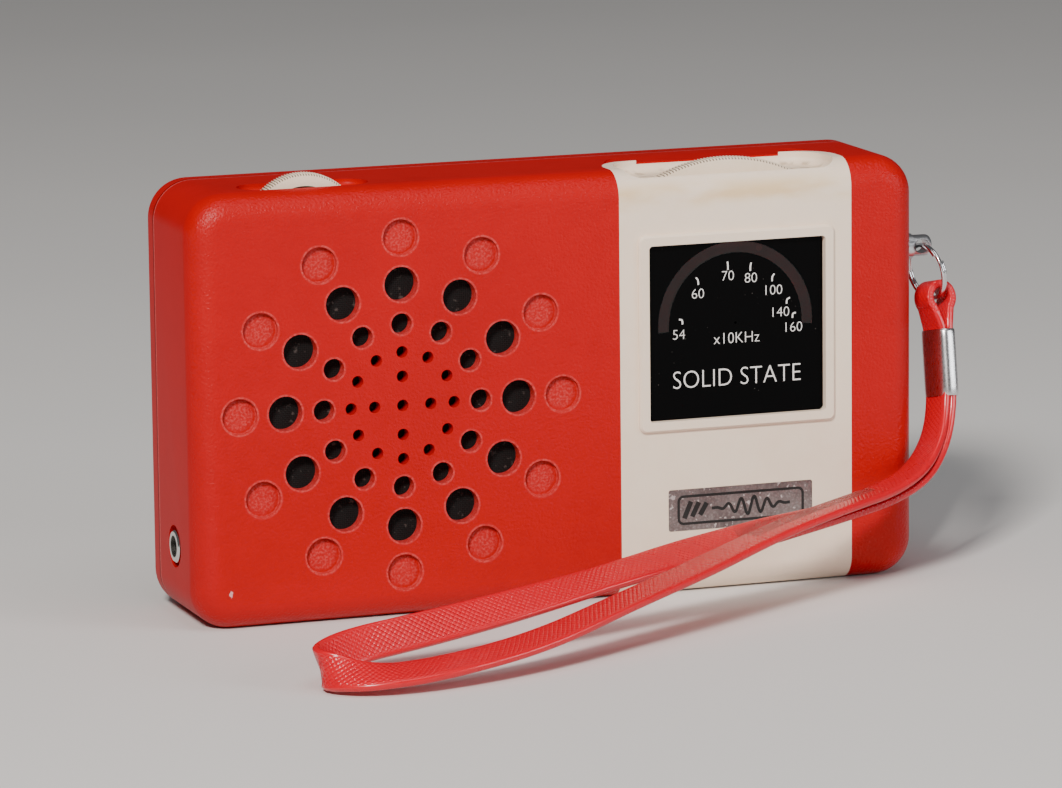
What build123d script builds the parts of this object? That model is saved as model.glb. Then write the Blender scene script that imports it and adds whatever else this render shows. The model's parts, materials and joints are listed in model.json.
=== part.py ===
from build123d import *
import math
import os

os.makedirs("parts", exist_ok=True)

# A pocket transistor radio that stands on its long narrow side, with a wrist strap on a split ring.
# Millimetres. +X is to the right seen from the front, +Y is to the back and +Z is up.
# The origin is in the middle of the flat base of the case.

# ---- case ------------------------------------------------------------------------------------
CASE_WIDTH = 126.5
CASE_HEIGHT = 71.5
CASE_DEPTH = 27.0
CORNER_RADIUS = 6.5
FRONT_EDGE_RADIUS = 4.5
BACK_EDGE_RADIUS = 3.0
WALL = 2.2
COVER_DEPTH = 5.5
COVER_WALL = 1.8
TONGUE_GAP = 0.3
TONGUE_WALL = 1.0
TONGUE_LENGTH = 1.5
COVER_TRAVEL = 30.0

# ---- speaker and its grille ----------------------------------------------------------------
SPEAKER_FROM_LEFT = 35.5
SPEAKER_DROP = 0.35
GRILLE_HOLE_RINGS = ((0.0, 1, 1.9), (4.81, 4, 1.9), (8.84, 12, 1.9), (13.46, 12, 3.5), (20.0, 12, 5.7))
DIMPLE_RING_RADIUS = 27.7
DIMPLE_COUNT = 12
DIMPLE_DIAMETER = 5.9
DIMPLE_DEPTH = 1.0
CLOTH_THICKNESS = 0.3
SPEAKER_RADIUS = 28.5
SPEAKER_RIM = 1.0
SPEAKER_STEEL = 0.6
BASKET_MOUTH_RADIUS = 24.5
BASKET_STEP_RADIUS = 19.5
BASKET_STEP_DEPTH = 3.3
BASKET_BACK_RADIUS = 15.0
BASKET_DEPTH = 9.4
MAGNET_RADIUS = 13.0
MAGNET_THICKNESS = 6.0
VOICE_COIL_RADIUS = 5.0
CLAMP_COUNT = 4
CLAMP_START_ANGLE = 45.0

# ---- trim band, dial window and badge -----------------------------------------------------------
TRIM_FROM_RIGHT = 32.55
TRIM_WIDTH = 41.2
TRIM_THICKNESS = 1.35
TRIM_TOP_REACH = 13.0
TRIM_BOTTOM_REACH = 9.0
WINDOW_WIDTH = 31.3
WINDOW_HEIGHT = 29.5
WINDOW_DROP = 27.2
FRAME_WIDTH = 1.75
FRAME_HEIGHT = 0.8
WINDOW_LEDGE = 1.2
GLASS_THICKNESS = 0.85
BADGE_WIDTH = 25.7
BADGE_HEIGHT = 7.0
BADGE_SHIFT = 0.6
BADGE_CENTRE_Z = 14.3
BADGE_THICKNESS = 0.3

# ---- thumb wheels ------------------------------------------------------------------------------
TUNING_RISE = 0.9
TUNING_RADIUS = 27.2
TUNING_THICKNESS = 2.5
TUNING_FRONT = 4.3
TUNING_SHAFT_RADIUS = 3.0
DIAL_DISC_RADIUS = 14.5
DIAL_DISC_THICKNESS = 1.0
POINTER_RADIUS = 13.0
POINTER_DOT = 0.55
POINTER_ANGLE = 66.0
SCOOP_WIDTH = 37.4
SCOOP_DEPTH = 2.1
SCOOP_FRONT = 1.2
SCOOP_BACK = 17.0
SCOOP_END_RADIUS = 6.0
VOLUME_FROM_LEFT = 21.2
VOLUME_RISE = 2.1
VOLUME_RADIUS = 10.0
VOLUME_THICKNESS = 2.6
VOLUME_FRONT = 6.2
VOLUME_SHAFT_RADIUS = 2.0
WELL_LENGTH = 22.0
WELL_WIDTH = 7.5
WELL_DEPTH = 1.2
WHEEL_GAP = 0.5
SHAFT_CLEARANCE = 0.05
SCREW_HEAD_HEIGHT = 0.9

# ---- circuit board and what stands on it -----------------------------------------------------
BOARD_THICKNESS = 1.5
BOARD_MARGIN = 1.6
BOARD_TOP_GAP = 4.7
BOARD_BACK_FROM_FRONT = 10.9
SPEAKER_HOLE_GAP = 0.9
SCREW_RADIUS = 1.1
BOSS_RADIUS = 2.5
TUNER_SIZE = 20.0
TUNER_DEPTH = 10.0
POT_RADIUS = 7.5
POT_DEPTH = 6.0
CAN_SIZE = 7.0
CAN_HEIGHT = 9.0
ROD_RADIUS = 4.0
ROD_LENGTH = 64.0
ROD_FROM_TUNING = 16.7
ROD_DROP = 4.8
ROD_STANDOFF = 8.0
COIL_WALL = 1.2
COIL_LENGTH = 20.0
LEAD_DIAMETER = 1.2

# ---- battery ------------------------------------------------------------------------------------
BATTERY_LENGTH = 46.4
BATTERY_HEIGHT = 26.5
BATTERY_DEPTH = 17.5
BATTERY_GAP = 0.3
BATTERY_SIDE_ROOM = 2.9
TERMINAL_HEIGHT = 1.8
SNAP_THICKNESS = 2.4

# ---- earphone jack ---------------------------------------------------------------------------
JACK_Y = -1.0
JACK_Z = 12.4
JACK_BORE = 3.6
JACK_BUSH_RADIUS = 2.7
JACK_RECESS_RADIUS = 3.5
JACK_RECESS_DEPTH = 0.9
JACK_LENGTH = 12.0
JACK_BODY = 6.2

# ---- strap stud, split ring and strap -------------------------------------------------------
STUD_Y = -4.5
STUD_Z = 54.8
STUD_COLLAR_RADIUS = 2.1
STUD_HEAD_RADIUS = 1.8
STUD_LENGTH = 6.0
STUD_HOLE_REACH = 4.1
STUD_HOLE_RADIUS = 1.2
STUD_FLANGE_RADIUS = 2.6
STUD_FLANGE = 1.2
RING_RADIUS = 4.64
RING_WIRE = 0.7
RING_HANG = Vector(0.205, -0.21, -0.955).normalized()
RING_ACROSS = Vector(0.25, -0.97, 0.0)
STRAP_WIDTH = 6.0
STRAP_THICKNESS = 1.2
EYE_WIDTH = 4.4
EYE_INNER_RADIUS = 1.7
FERRULE_TOP_FROM_HOLE = Vector(2.0, -3.5, -14.1)
FERRULE_BOTTOM_FROM_HOLE = Vector(1.7, -6.0, -25.1)
FERRULE_WALL = 0.5
FERRULE_GAP = 0.1
STRAP_GRIP = 4.0

# ---- places worked out from the sizes above --------------------------------------------------
FRONT_Y = -CASE_DEPTH / 2
BACK_Y = CASE_DEPTH / 2
SEAM_Y = BACK_Y - COVER_DEPTH
INNER_FRONT_Y = FRONT_Y + WALL
MIDDLE_Z = CASE_HEIGHT / 2
RIGHT_X = CASE_WIDTH / 2
SPEAKER_X = SPEAKER_FROM_LEFT - RIGHT_X
SPEAKER_Z = MIDDLE_Z - SPEAKER_DROP
TRIM_CENTRE_X = RIGHT_X - TRIM_FROM_RIGHT
WINDOW_CENTRE_Z = CASE_HEIGHT - WINDOW_DROP
BADGE_CENTRE_X = TRIM_CENTRE_X + BADGE_SHIFT
TUNING_X = TRIM_CENTRE_X
TUNING_Z = CASE_HEIGHT + TUNING_RISE - TUNING_RADIUS
VOLUME_X = VOLUME_FROM_LEFT - RIGHT_X
VOLUME_Z = CASE_HEIGHT + VOLUME_RISE - VOLUME_RADIUS
BOARD_TOP_Z = CASE_HEIGHT - BOARD_TOP_GAP
ROD_CENTRE_X = TUNING_X - ROD_FROM_TUNING
ROD_Z = BOARD_TOP_Z - ROD_DROP
STUD_HOLE = Vector(RIGHT_X + STUD_HOLE_REACH, STUD_Y, STUD_Z)
FERRULE_TOP = STUD_HOLE + FERRULE_TOP_FROM_HOLE
FERRULE_BOTTOM = STUD_HOLE + FERRULE_BOTTOM_FROM_HOLE
TRIM_LEFT = TRIM_CENTRE_X - TRIM_WIDTH / 2
TRIM_RIGHT = TRIM_CENTRE_X + TRIM_WIDTH / 2
TRIM_BACK_Y = FRONT_Y + TRIM_THICKNESS
BOARD_BACK_Y = FRONT_Y + BOARD_BACK_FROM_FRONT
BOARD_FRONT_Y = BOARD_BACK_Y - BOARD_THICKNESS
TUNING_FRONT_Y = FRONT_Y + TUNING_FRONT
TUNING_BACK_Y = TUNING_FRONT_Y + TUNING_THICKNESS
VOLUME_FRONT_Y = FRONT_Y + VOLUME_FRONT
VOLUME_BACK_Y = VOLUME_FRONT_Y + VOLUME_THICKNESS
DISC_FRONT_Y = TUNING_FRONT_Y - DIAL_DISC_THICKNESS
RIM_FRONT_Y = INNER_FRONT_Y + CLOTH_THICKNESS
RIM_BACK_Y = RIM_FRONT_Y + SPEAKER_RIM
BASKET_BACK_Y = RIM_FRONT_Y + BASKET_DEPTH
GLASS_FRONT_Y = TRIM_BACK_Y - GLASS_THICKNESS
BATTERY_RIGHT = RIGHT_X - WALL - BATTERY_SIDE_ROOM
BATTERY_LEFT = BATTERY_RIGHT - BATTERY_LENGTH
BATTERY_BOTTOM = WALL + BATTERY_GAP
BATTERY_TOP = BATTERY_BOTTOM + BATTERY_HEIGHT
BATTERY_BACK_Y = BACK_Y - COVER_WALL - BATTERY_GAP
BATTERY_FRONT_Y = BATTERY_BACK_Y - BATTERY_DEPTH
SNAP_LEFT = BATTERY_LEFT - TERMINAL_HEIGHT - SNAP_THICKNESS


def save(node, shape):
    """Write one sub-part to its own STEP file."""
    shape.label = node
    export_step(shape, "parts/" + node + ".step")


def block(x0, x1, y0, y1, z0, z1):
    """A box between two corners."""
    centre = ((x0 + x1) / 2, (y0 + y1) / 2, (z0 + z1) / 2)
    return Pos(*centre) * Box(x1 - x0, y1 - y0, z1 - z0)


def disc(x, z, radius, y0, y1):
    """A cylinder along Y from y0 to y1."""
    return Pos(x, (y0 + y1) / 2, z) * Rot(90, 0, 0) * Cylinder(radius, y1 - y0)


def cone(x, z, front_radius, back_radius, y0, y1):
    """A frustum along Y, with its own radius at y0 and at y1."""
    if abs(front_radius - back_radius) < 1e-6:
        return disc(x, z, front_radius, y0, y1)
    return Pos(x, (y0 + y1) / 2, z) * Rot(-90, 0, 0) * Cone(front_radius, back_radius, y1 - y0)


def face_xz(width, height, radius, x, y, z):
    """A rounded rectangle that faces the front, for extruding along Y."""
    plane = Plane(origin=(x, y, z), x_dir=(1, 0, 0), z_dir=(0, -1, 0))
    return plane * RectangleRounded(width, height, radius)


def slab(width, height, radius, x, z, y0, y1):
    """A rounded rectangle's slab from y0 back to y1."""
    return extrude(face_xz(width, height, radius, x, y0, z), amount=-(y1 - y0))


def ring_places(x, z, radius, count, start=0.0):
    """Evenly spaced places on a circle in the XZ plane."""
    angles = [math.radians(start + 360.0 * i / count) for i in range(count)]
    return [(x + radius * math.cos(a), z + radius * math.sin(a)) for a in angles]


def case_body(inset, y0, y1, front_radius, back_radius):
    """The case's rounded outline, set in on all sides, with rounded front or back edges."""
    width = CASE_WIDTH - 2 * inset
    height = CASE_HEIGHT - 2 * inset
    radius = max(CORNER_RADIUS - inset, 0.8)
    body = slab(width, height, radius, 0, MIDDLE_Z, y0, y1)
    if front_radius > 0:
        body = fillet(body.faces().sort_by(Axis.Y)[0].edges(), front_radius)
    if back_radius > 0:
        body = fillet(body.faces().sort_by(Axis.Y)[-1].edges(), back_radius)
    return body


def scoop_tool():
    """The finger scoop over the tuning wheel: a shallow tray that opens towards the front."""
    front = FRONT_Y + SCOOP_FRONT
    back = FRONT_Y + TRIM_TOP_REACH
    floor = CASE_HEIGHT - SCOOP_DEPTH
    tray = block(TRIM_CENTRE_X - SCOOP_WIDTH / 2, TRIM_CENTRE_X + SCOOP_WIDTH / 2, front, back, floor,
                 CASE_HEIGHT + 4)
    tray = fillet(tray.edges().filter_by(Axis.Z).sort_by(Axis.Y)[2:], SCOOP_END_RADIUS)
    tray = fillet(tray.edges().filter_by(Axis.Z).sort_by(Axis.Y)[:2], SCOOP_END_RADIUS / 2)
    tray = fillet(tray.faces().sort_by(Axis.Z)[0].edges(), SCOOP_DEPTH * 0.7)
    return tray


def lip_tool():
    """The shallow bevel in the red top behind the scoop."""
    half = SCOOP_WIDTH / 2
    back = FRONT_Y + SCOOP_BACK
    start = FRONT_Y + TRIM_TOP_REACH - SCOOP_END_RADIUS
    slope = Polyline((start, CASE_HEIGHT - 0.9), (back, CASE_HEIGHT), (back, CASE_HEIGHT + 2),
                     (start, CASE_HEIGHT + 2), close=True)
    outline = make_face(Plane.YZ * slope)
    wedge = Pos(TRIM_CENTRE_X - half, 0, 0) * extrude(outline, amount=2 * half)
    return fillet(wedge.edges().filter_by(Axis.Z).sort_by(Axis.Y)[-2:], SCOOP_END_RADIUS)


def wheel_slot(x, z, radius, y0, y1):
    """Running room for a thumb wheel through the case."""
    return disc(x, z, radius + WHEEL_GAP, y0 - WHEEL_GAP, y1 + WHEEL_GAP)


def trim_envelope():
    """Everything that the cream trim fills, before its own openings are cut."""
    outer = case_body(0, FRONT_Y, SEAM_Y, FRONT_EDGE_RADIUS, 0)
    core_radius = FRONT_EDGE_RADIUS - TRIM_THICKNESS
    core = case_body(TRIM_THICKNESS, FRONT_Y + TRIM_THICKNESS, SEAM_Y + 5, core_radius, 0)
    upper = block(TRIM_LEFT, TRIM_RIGHT, FRONT_Y - 5, FRONT_Y + TRIM_TOP_REACH, MIDDLE_Z,
                  CASE_HEIGHT + 5)
    upper = fillet(upper.edges().filter_by(Axis.Z).sort_by(Axis.Y)[2:], SCOOP_END_RADIUS)
    lower = block(TRIM_LEFT, TRIM_RIGHT, FRONT_Y - 5, FRONT_Y + TRIM_BOTTOM_REACH, -5, MIDDLE_Z)
    band = (outer - core) & (upper + lower)
    tray = scoop_tool()
    under = block(TRIM_CENTRE_X - SCOOP_WIDTH / 2, TRIM_CENTRE_X + SCOOP_WIDTH / 2, FRONT_Y + SCOOP_FRONT,
                  FRONT_Y + TRIM_TOP_REACH - 0.01, CASE_HEIGHT - SCOOP_DEPTH - TRIM_THICKNESS,
                  CASE_HEIGHT - TRIM_THICKNESS)
    under = fillet(under.edges().filter_by(Axis.Z).sort_by(Axis.Y)[2:], SCOOP_END_RADIUS - 0.01)
    return band, under, tray


def window_room(extra, y0, y1, radius):
    """The dial window's opening, wider by extra on each side."""
    return slab(WINDOW_WIDTH + 2 * extra, WINDOW_HEIGHT + 2 * extra, radius, TRIM_CENTRE_X,
                WINDOW_CENTRE_Z, y0, y1)


def board_screw_places():
    """The five places where the circuit board is screwed down."""
    side = RIGHT_X - WALL - BOARD_MARGIN - 2.0
    top = BOARD_TOP_Z - 4.3
    middle = TRIM_LEFT - 7.0
    return [(-side, 19.6), (-side, top), (SNAP_LEFT - 4.45, 6.8), (middle, top), (side, top)]


def clamp_places():
    """Where the speaker's clamping screws stand, just outside its rim."""
    return ring_places(SPEAKER_X, SPEAKER_Z, SPEAKER_RADIUS + BOSS_RADIUS + 0.3, CLAMP_COUNT,
                       CLAMP_START_ANGLE)


def front_shell(band, under, tray):
    """The red front half of the case, open at the back."""
    outer = case_body(0, FRONT_Y, SEAM_Y, FRONT_EDGE_RADIUS, 0)
    inner = case_body(WALL, INNER_FRONT_Y, SEAM_Y + 1, FRONT_EDGE_RADIUS - WALL, 0)
    shell = outer - inner
    for x, z in board_screw_places():
        shell += disc(x, z, BOSS_RADIUS, INNER_FRONT_Y - 0.5, BOARD_FRONT_Y)
    for x, z in clamp_places():
        shell += disc(x, z, BOSS_RADIUS - 0.3, INNER_FRONT_Y - 0.5, RIM_BACK_Y)
    shell = (shell & outer) - band - under - tray - lip_tool()
    shell -= window_room(-WINDOW_LEDGE, FRONT_Y - 1, INNER_FRONT_Y + 1, 0.8)
    for radius, count, diameter in GRILLE_HOLE_RINGS:
        for x, z in ring_places(SPEAKER_X, SPEAKER_Z, radius, count):
            shell -= disc(x, z, diameter / 2, FRONT_Y - 1, INNER_FRONT_Y + 1)
    for x, z in ring_places(SPEAKER_X, SPEAKER_Z, DIMPLE_RING_RADIUS, DIMPLE_COUNT):
        shell -= disc(x, z, DIMPLE_DIAMETER / 2, FRONT_Y - 1, FRONT_Y + DIMPLE_DEPTH)
    for x, z in board_screw_places():
        shell -= disc(x, z, SCREW_RADIUS, INNER_FRONT_Y + 0.5, BOARD_FRONT_Y + 1)
    for x, z in clamp_places():
        shell -= disc(x, z, SCREW_RADIUS, INNER_FRONT_Y - 1.2, RIM_BACK_Y + 1)
    shell -= wheel_slot(TUNING_X, TUNING_Z, TUNING_RADIUS, TUNING_FRONT_Y, TUNING_BACK_Y)
    well_y = (VOLUME_FRONT_Y + VOLUME_BACK_Y) / 2 + 0.7
    well = Pos(VOLUME_X + 0.35, well_y, CASE_HEIGHT) * Box(WELL_LENGTH, WELL_WIDTH, 2 * WELL_DEPTH)
    well = fillet(well.edges().filter_by(Axis.Z), WELL_WIDTH / 2 - 0.05)
    well = fillet(well.faces().sort_by(Axis.Z)[0].edges(), WELL_DEPTH * 0.7)
    shell -= well
    shell -= wheel_slot(VOLUME_X, VOLUME_Z, VOLUME_RADIUS, VOLUME_FRONT_Y, VOLUME_BACK_Y)
    shell -= Pos(-RIGHT_X, JACK_Y, JACK_Z) * Rot(0, 90, 0) * Cylinder(JACK_RECESS_RADIUS, 2 * JACK_RECESS_DEPTH)
    shell -= Pos(-RIGHT_X, JACK_Y, JACK_Z) * Rot(0, 90, 0) * Cylinder(JACK_BUSH_RADIUS, 4 * WALL)
    shell -= Pos(RIGHT_X, STUD_Y, STUD_Z) * Rot(0, 90, 0) * Cylinder(STUD_HEAD_RADIUS, 4 * WALL)
    return shell


def trim_band(band, under, tray):
    """The cream band with its raised window frame, badge seat and finger scoop."""
    frame_face = FRONT_Y - FRAME_HEIGHT
    frame = slab(WINDOW_WIDTH + 2 * FRAME_WIDTH, WINDOW_HEIGHT + 2 * FRAME_WIDTH, 1.2, TRIM_CENTRE_X,
                 WINDOW_CENTRE_Z, frame_face, FRONT_Y + 0.2)
    frame = chamfer(frame.faces().sort_by(Axis.Y)[0].edges(), 0.35)
    trim = band + under + frame
    trim -= tray
    trim -= window_room(0, frame_face - 1, TRIM_BACK_Y + 1, 0.6)
    trim -= slab(BADGE_WIDTH, BADGE_HEIGHT, 0.4, BADGE_CENTRE_X, BADGE_CENTRE_Z, FRONT_Y - 1,
                 FRONT_Y + BADGE_THICKNESS)
    trim -= wheel_slot(TUNING_X, TUNING_Z, TUNING_RADIUS, TUNING_FRONT_Y, TUNING_BACK_Y)
    return trim


def dial_window():
    """The dark dial glass, seated on the shell's ledge inside the frame."""
    return window_room(-0.05, GLASS_FRONT_Y, TRIM_BACK_Y, 0.55)


def badge():
    """A thin foil plate in its seat."""
    return slab(BADGE_WIDTH - 0.1, BADGE_HEIGHT - 0.1, 0.35, BADGE_CENTRE_X, BADGE_CENTRE_Z,
                FRONT_Y - 0.05, FRONT_Y + BADGE_THICKNESS)


def back_cover():
    """The red back half, with a tongue that plugs into the front half."""
    outer = case_body(0, SEAM_Y, BACK_Y, 0, BACK_EDGE_RADIUS)
    inner_radius = max(BACK_EDGE_RADIUS - COVER_WALL, 0.5)
    inner = case_body(WALL, SEAM_Y - 1, BACK_Y - COVER_WALL, 0, inner_radius)
    tongue_inset = WALL + TONGUE_GAP
    tongue = case_body(tongue_inset, SEAM_Y - TONGUE_LENGTH, SEAM_Y + 1.5, 0, 0)
    hollow = case_body(tongue_inset + TONGUE_WALL, SEAM_Y - TONGUE_LENGTH - 1, SEAM_Y + 2, 0, 0)
    root_ring = case_body(WALL - 0.2, SEAM_Y, SEAM_Y + 1.5, 0, 0)
    battery_room = block(SNAP_LEFT - 1, BATTERY_RIGHT + 0.5, SEAM_Y - TONGUE_LENGTH - 1, SEAM_Y + 2, WALL,
                         BATTERY_TOP + 0.5)
    return (outer - inner) + ((root_ring - hollow) + (tongue - hollow) - battery_room)


def speaker_cloth():
    """The black cloth disc between the grille and the speaker."""
    return disc(SPEAKER_X, SPEAKER_Z, SPEAKER_RADIUS - 0.3, INNER_FRONT_Y, RIM_FRONT_Y)


def speaker_frame():
    """The pressed steel basket with its flat rim and four windows."""
    step_y = RIM_FRONT_Y + BASKET_STEP_DEPTH
    steel = SPEAKER_STEEL
    rim = disc(SPEAKER_X, SPEAKER_Z, SPEAKER_RADIUS, RIM_FRONT_Y, RIM_BACK_Y)
    upper = cone(SPEAKER_X, SPEAKER_Z, BASKET_MOUTH_RADIUS, BASKET_STEP_RADIUS, RIM_BACK_Y - 0.2, step_y)
    lower = cone(SPEAKER_X, SPEAKER_Z, BASKET_STEP_RADIUS, BASKET_BACK_RADIUS, step_y, BASKET_BACK_Y)
    cut_front = disc(SPEAKER_X, SPEAKER_Z, BASKET_MOUTH_RADIUS - steel, RIM_FRONT_Y - 1, RIM_BACK_Y - 0.1)
    cut_upper = cone(SPEAKER_X, SPEAKER_Z, BASKET_MOUTH_RADIUS - steel, BASKET_STEP_RADIUS - steel,
                     RIM_BACK_Y - 0.2, step_y)
    cut_lower = cone(SPEAKER_X, SPEAKER_Z, BASKET_STEP_RADIUS - steel, BASKET_BACK_RADIUS - steel, step_y,
                     BASKET_BACK_Y - steel)
    frame = (rim + upper + lower) - cut_front - cut_upper - cut_lower
    frame -= disc(SPEAKER_X, SPEAKER_Z, VOICE_COIL_RADIUS + 0.6, BASKET_BACK_Y - 2, BASKET_BACK_Y + 1)
    vent_y = (step_y + BASKET_BACK_Y) / 2
    vent = Box(12, BASKET_BACK_Y - step_y - 2.4, 2 * BASKET_STEP_RADIUS + 10)
    for turn in (45, 135):
        frame -= Pos(SPEAKER_X, vent_y, SPEAKER_Z) * Rot(0, turn, 0) * vent
    return frame


def speaker_cone():
    """The paper cone with its rolled edge."""
    mouth = BASKET_MOUTH_RADIUS - SPEAKER_STEEL - 0.3
    back = BASKET_BACK_Y - SPEAKER_STEEL - 0.6
    front = RIM_FRONT_Y + 0.2
    edge = disc(SPEAKER_X, SPEAKER_Z, mouth, front, front + 0.5)
    outer = cone(SPEAKER_X, SPEAKER_Z, mouth - 4.6, VOICE_COIL_RADIUS, front, back)
    inner = cone(SPEAKER_X, SPEAKER_Z, mouth - 5.1, VOICE_COIL_RADIUS - 0.5, front, back)
    opening = disc(SPEAKER_X, SPEAKER_Z, mouth - 5.1, front - 0.5, front + 0.5)
    return (edge - opening) + (outer - inner - disc(SPEAKER_X, SPEAKER_Z, mouth, front - 1, front))


def speaker_dust_cap():
    """The domed cap over the voice coil."""
    back = BASKET_BACK_Y - SPEAKER_STEEL - 1.6
    return disc(SPEAKER_X, SPEAKER_Z, VOICE_COIL_RADIUS + 0.9, back - 0.5, back)


def speaker_coil():
    """The voice coil on its former, between the cone and the magnet."""
    tube = disc(SPEAKER_X, SPEAKER_Z, VOICE_COIL_RADIUS, BASKET_BACK_Y - SPEAKER_STEEL - 0.6, BASKET_BACK_Y)
    return tube - disc(SPEAKER_X, SPEAKER_Z, VOICE_COIL_RADIUS - 0.5, BASKET_BACK_Y - 4, BASKET_BACK_Y + 1)


def speaker_magnet():
    """The round magnet with its yoke plate and connecting tag."""
    magnet = disc(SPEAKER_X, SPEAKER_Z, MAGNET_RADIUS, BASKET_BACK_Y, BASKET_BACK_Y + MAGNET_THICKNESS - 1.2)
    yoke = disc(SPEAKER_X, SPEAKER_Z, MAGNET_RADIUS - 0.8, BASKET_BACK_Y + MAGNET_THICKNESS - 1.4,
                BASKET_BACK_Y + MAGNET_THICKNESS)
    return magnet + chamfer(yoke.faces().sort_by(Axis.Y)[-1].edges(), 0.4)


def headed_screw(x, z, seat_y, head_radius, head_height, shank):
    """A pan-head screw with a cross slot, seated at seat_y and driven towards the front."""
    head = disc(x, z, head_radius, seat_y, seat_y + head_height)
    head = fillet(head.faces().sort_by(Axis.Y)[-1].edges(), head_height * 0.4)
    screw = head + disc(x, z, SCREW_RADIUS - 0.03, seat_y - shank, seat_y + 0.1)
    top = seat_y + head_height
    screw -= block(x - head_radius * 0.7, x + head_radius * 0.7, top - 0.4, top + 1, z - 0.25, z + 0.25)
    screw -= block(x - 0.25, x + 0.25, top - 0.4, top + 1, z - head_radius * 0.7, z + head_radius * 0.7)
    return screw


def wheel(x, z, radius, y0, y1, bore):
    """A flat thumb wheel with a rounded rim and a bore for its shaft."""
    body = disc(x, z, radius, y0, y1)
    body = chamfer(body.edges().filter_by(GeomType.CIRCLE), 0.3)
    return body - disc(x, z, bore, y0 - 1, y1 + 1)


def d_shaft(x, z, radius, y0, y1, flat_from):
    """A shaft with a flat towards its front end, drilled for a screw."""
    shaft = disc(x, z, radius, y0, y1)
    shaft -= block(x - radius, x + radius, y0 - 1, flat_from, z + radius * 0.6, z + radius + 1)
    return shaft - disc(x, z, SCREW_RADIUS, y0 - 1, y0 + 5)


def d_wheel(x, z, radius, y0, y1, shaft_radius):
    """A thumb wheel whose bore matches the flat of its shaft."""
    body = wheel(x, z, radius, y0, y1, shaft_radius)
    key = block(x - shaft_radius, x + shaft_radius, y0, y1, z + shaft_radius * 0.6, z + shaft_radius + 0.2)
    return body + (key & disc(x, z, shaft_radius + 0.2, y0, y1))


def face_screw(x, z, seat_y, head_radius, shank):
    """A screw that holds a wheel, driven from the front towards the back."""
    head = disc(x, z, head_radius, seat_y - SCREW_HEAD_HEIGHT, seat_y)
    head = fillet(head.faces().sort_by(Axis.Y)[0].edges(), SCREW_HEAD_HEIGHT * 0.4)
    screw = head + disc(x, z, SCREW_RADIUS - 0.03, seat_y - 0.1, seat_y + shank)
    top = seat_y - SCREW_HEAD_HEIGHT
    return screw - block(x - head_radius, x + head_radius, top - 1, top + 0.35, z - 0.25, z + 0.25)


def dial_disc():
    """The red disc that turns with the tuning wheel behind the dial glass."""
    body = disc(TUNING_X, TUNING_Z, DIAL_DISC_RADIUS, DISC_FRONT_Y, TUNING_FRONT_Y)
    x, z = pointer_place()
    body -= disc(x, z, POINTER_DOT, DISC_FRONT_Y - 1, DISC_FRONT_Y + 0.3)
    return body - disc(TUNING_X, TUNING_Z, SCREW_RADIUS + 0.05, DISC_FRONT_Y - 1, TUNING_FRONT_Y + 1)


def pointer_place():
    """Where the white pointer dot sits on the dial disc."""
    angle = math.radians(POINTER_ANGLE)
    return TUNING_X + POINTER_RADIUS * math.cos(angle), TUNING_Z + POINTER_RADIUS * math.sin(angle)


def pointer_dot():
    """The white dot let into the dial disc."""
    x, z = pointer_place()
    return disc(x, z, POINTER_DOT, DISC_FRONT_Y - 0.05, DISC_FRONT_Y + 0.3)


def circuit_board():
    """The phenolic board, cut away for the speaker, the battery and the jack."""
    left = -RIGHT_X + WALL + BOARD_MARGIN
    right = -left
    board = block(left, right, BOARD_FRONT_Y, BOARD_BACK_Y, 3.8, BOARD_TOP_Z)
    board = fillet(board.edges().filter_by(Axis.Y), 2.0)
    span = (BOARD_FRONT_Y + BOARD_BACK_Y) / 2 - RIM_FRONT_Y
    hole = BASKET_STEP_RADIUS - (BASKET_STEP_RADIUS - BASKET_BACK_RADIUS) * (
        (span - BASKET_STEP_DEPTH) / (BASKET_DEPTH - BASKET_STEP_DEPTH)) + SPEAKER_HOLE_GAP
    board -= disc(SPEAKER_X, SPEAKER_Z, hole, BOARD_FRONT_Y - 1, BOARD_BACK_Y + 1)
    board -= block(SNAP_LEFT - 0.6, right + 1, BOARD_FRONT_Y - 1, BOARD_BACK_Y + 1, 0, BATTERY_TOP + 1.0)
    jack_end = -RIGHT_X + JACK_LENGTH + 1.0
    jack_top = JACK_Z + JACK_BODY / 2 + 0.9
    board -= block(left - 1, jack_end, BOARD_FRONT_Y - 1, BOARD_BACK_Y + 1, 0, jack_top)
    board -= disc(TUNING_X, TUNING_Z, TUNING_SHAFT_RADIUS + 0.6, BOARD_FRONT_Y - 1, BOARD_BACK_Y + 1)
    board -= disc(VOLUME_X, VOLUME_Z, VOLUME_SHAFT_RADIUS + 0.6, BOARD_FRONT_Y - 1, BOARD_BACK_Y + 1)
    for x, z in board_screw_places():
        board -= disc(x, z, SCREW_RADIUS + 0.1, BOARD_FRONT_Y - 1, BOARD_BACK_Y + 1)
    return board


def tuning_capacitor():
    """The tuning capacitor's moulded body behind the board, bored for its shaft."""
    y0 = BOARD_BACK_Y
    body = block(TUNING_X - TUNER_SIZE / 2, TUNING_X + TUNER_SIZE / 2, y0, y0 + TUNER_DEPTH,
                 TUNING_Z - TUNER_SIZE / 2, TUNING_Z + TUNER_SIZE / 2)
    body = chamfer(body.edges().filter_by(Axis.Y), 1.2)
    for x, z in ring_places(TUNING_X, TUNING_Z, TUNER_SIZE * 0.45, 4, 45.0):
        body -= disc(x, z, 1.2, y0 + TUNER_DEPTH - 0.8, y0 + TUNER_DEPTH + 1)
    return body - disc(TUNING_X, TUNING_Z, TUNING_SHAFT_RADIUS + SHAFT_CLEARANCE, y0 - 1, y0 + 6.2)


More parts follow.
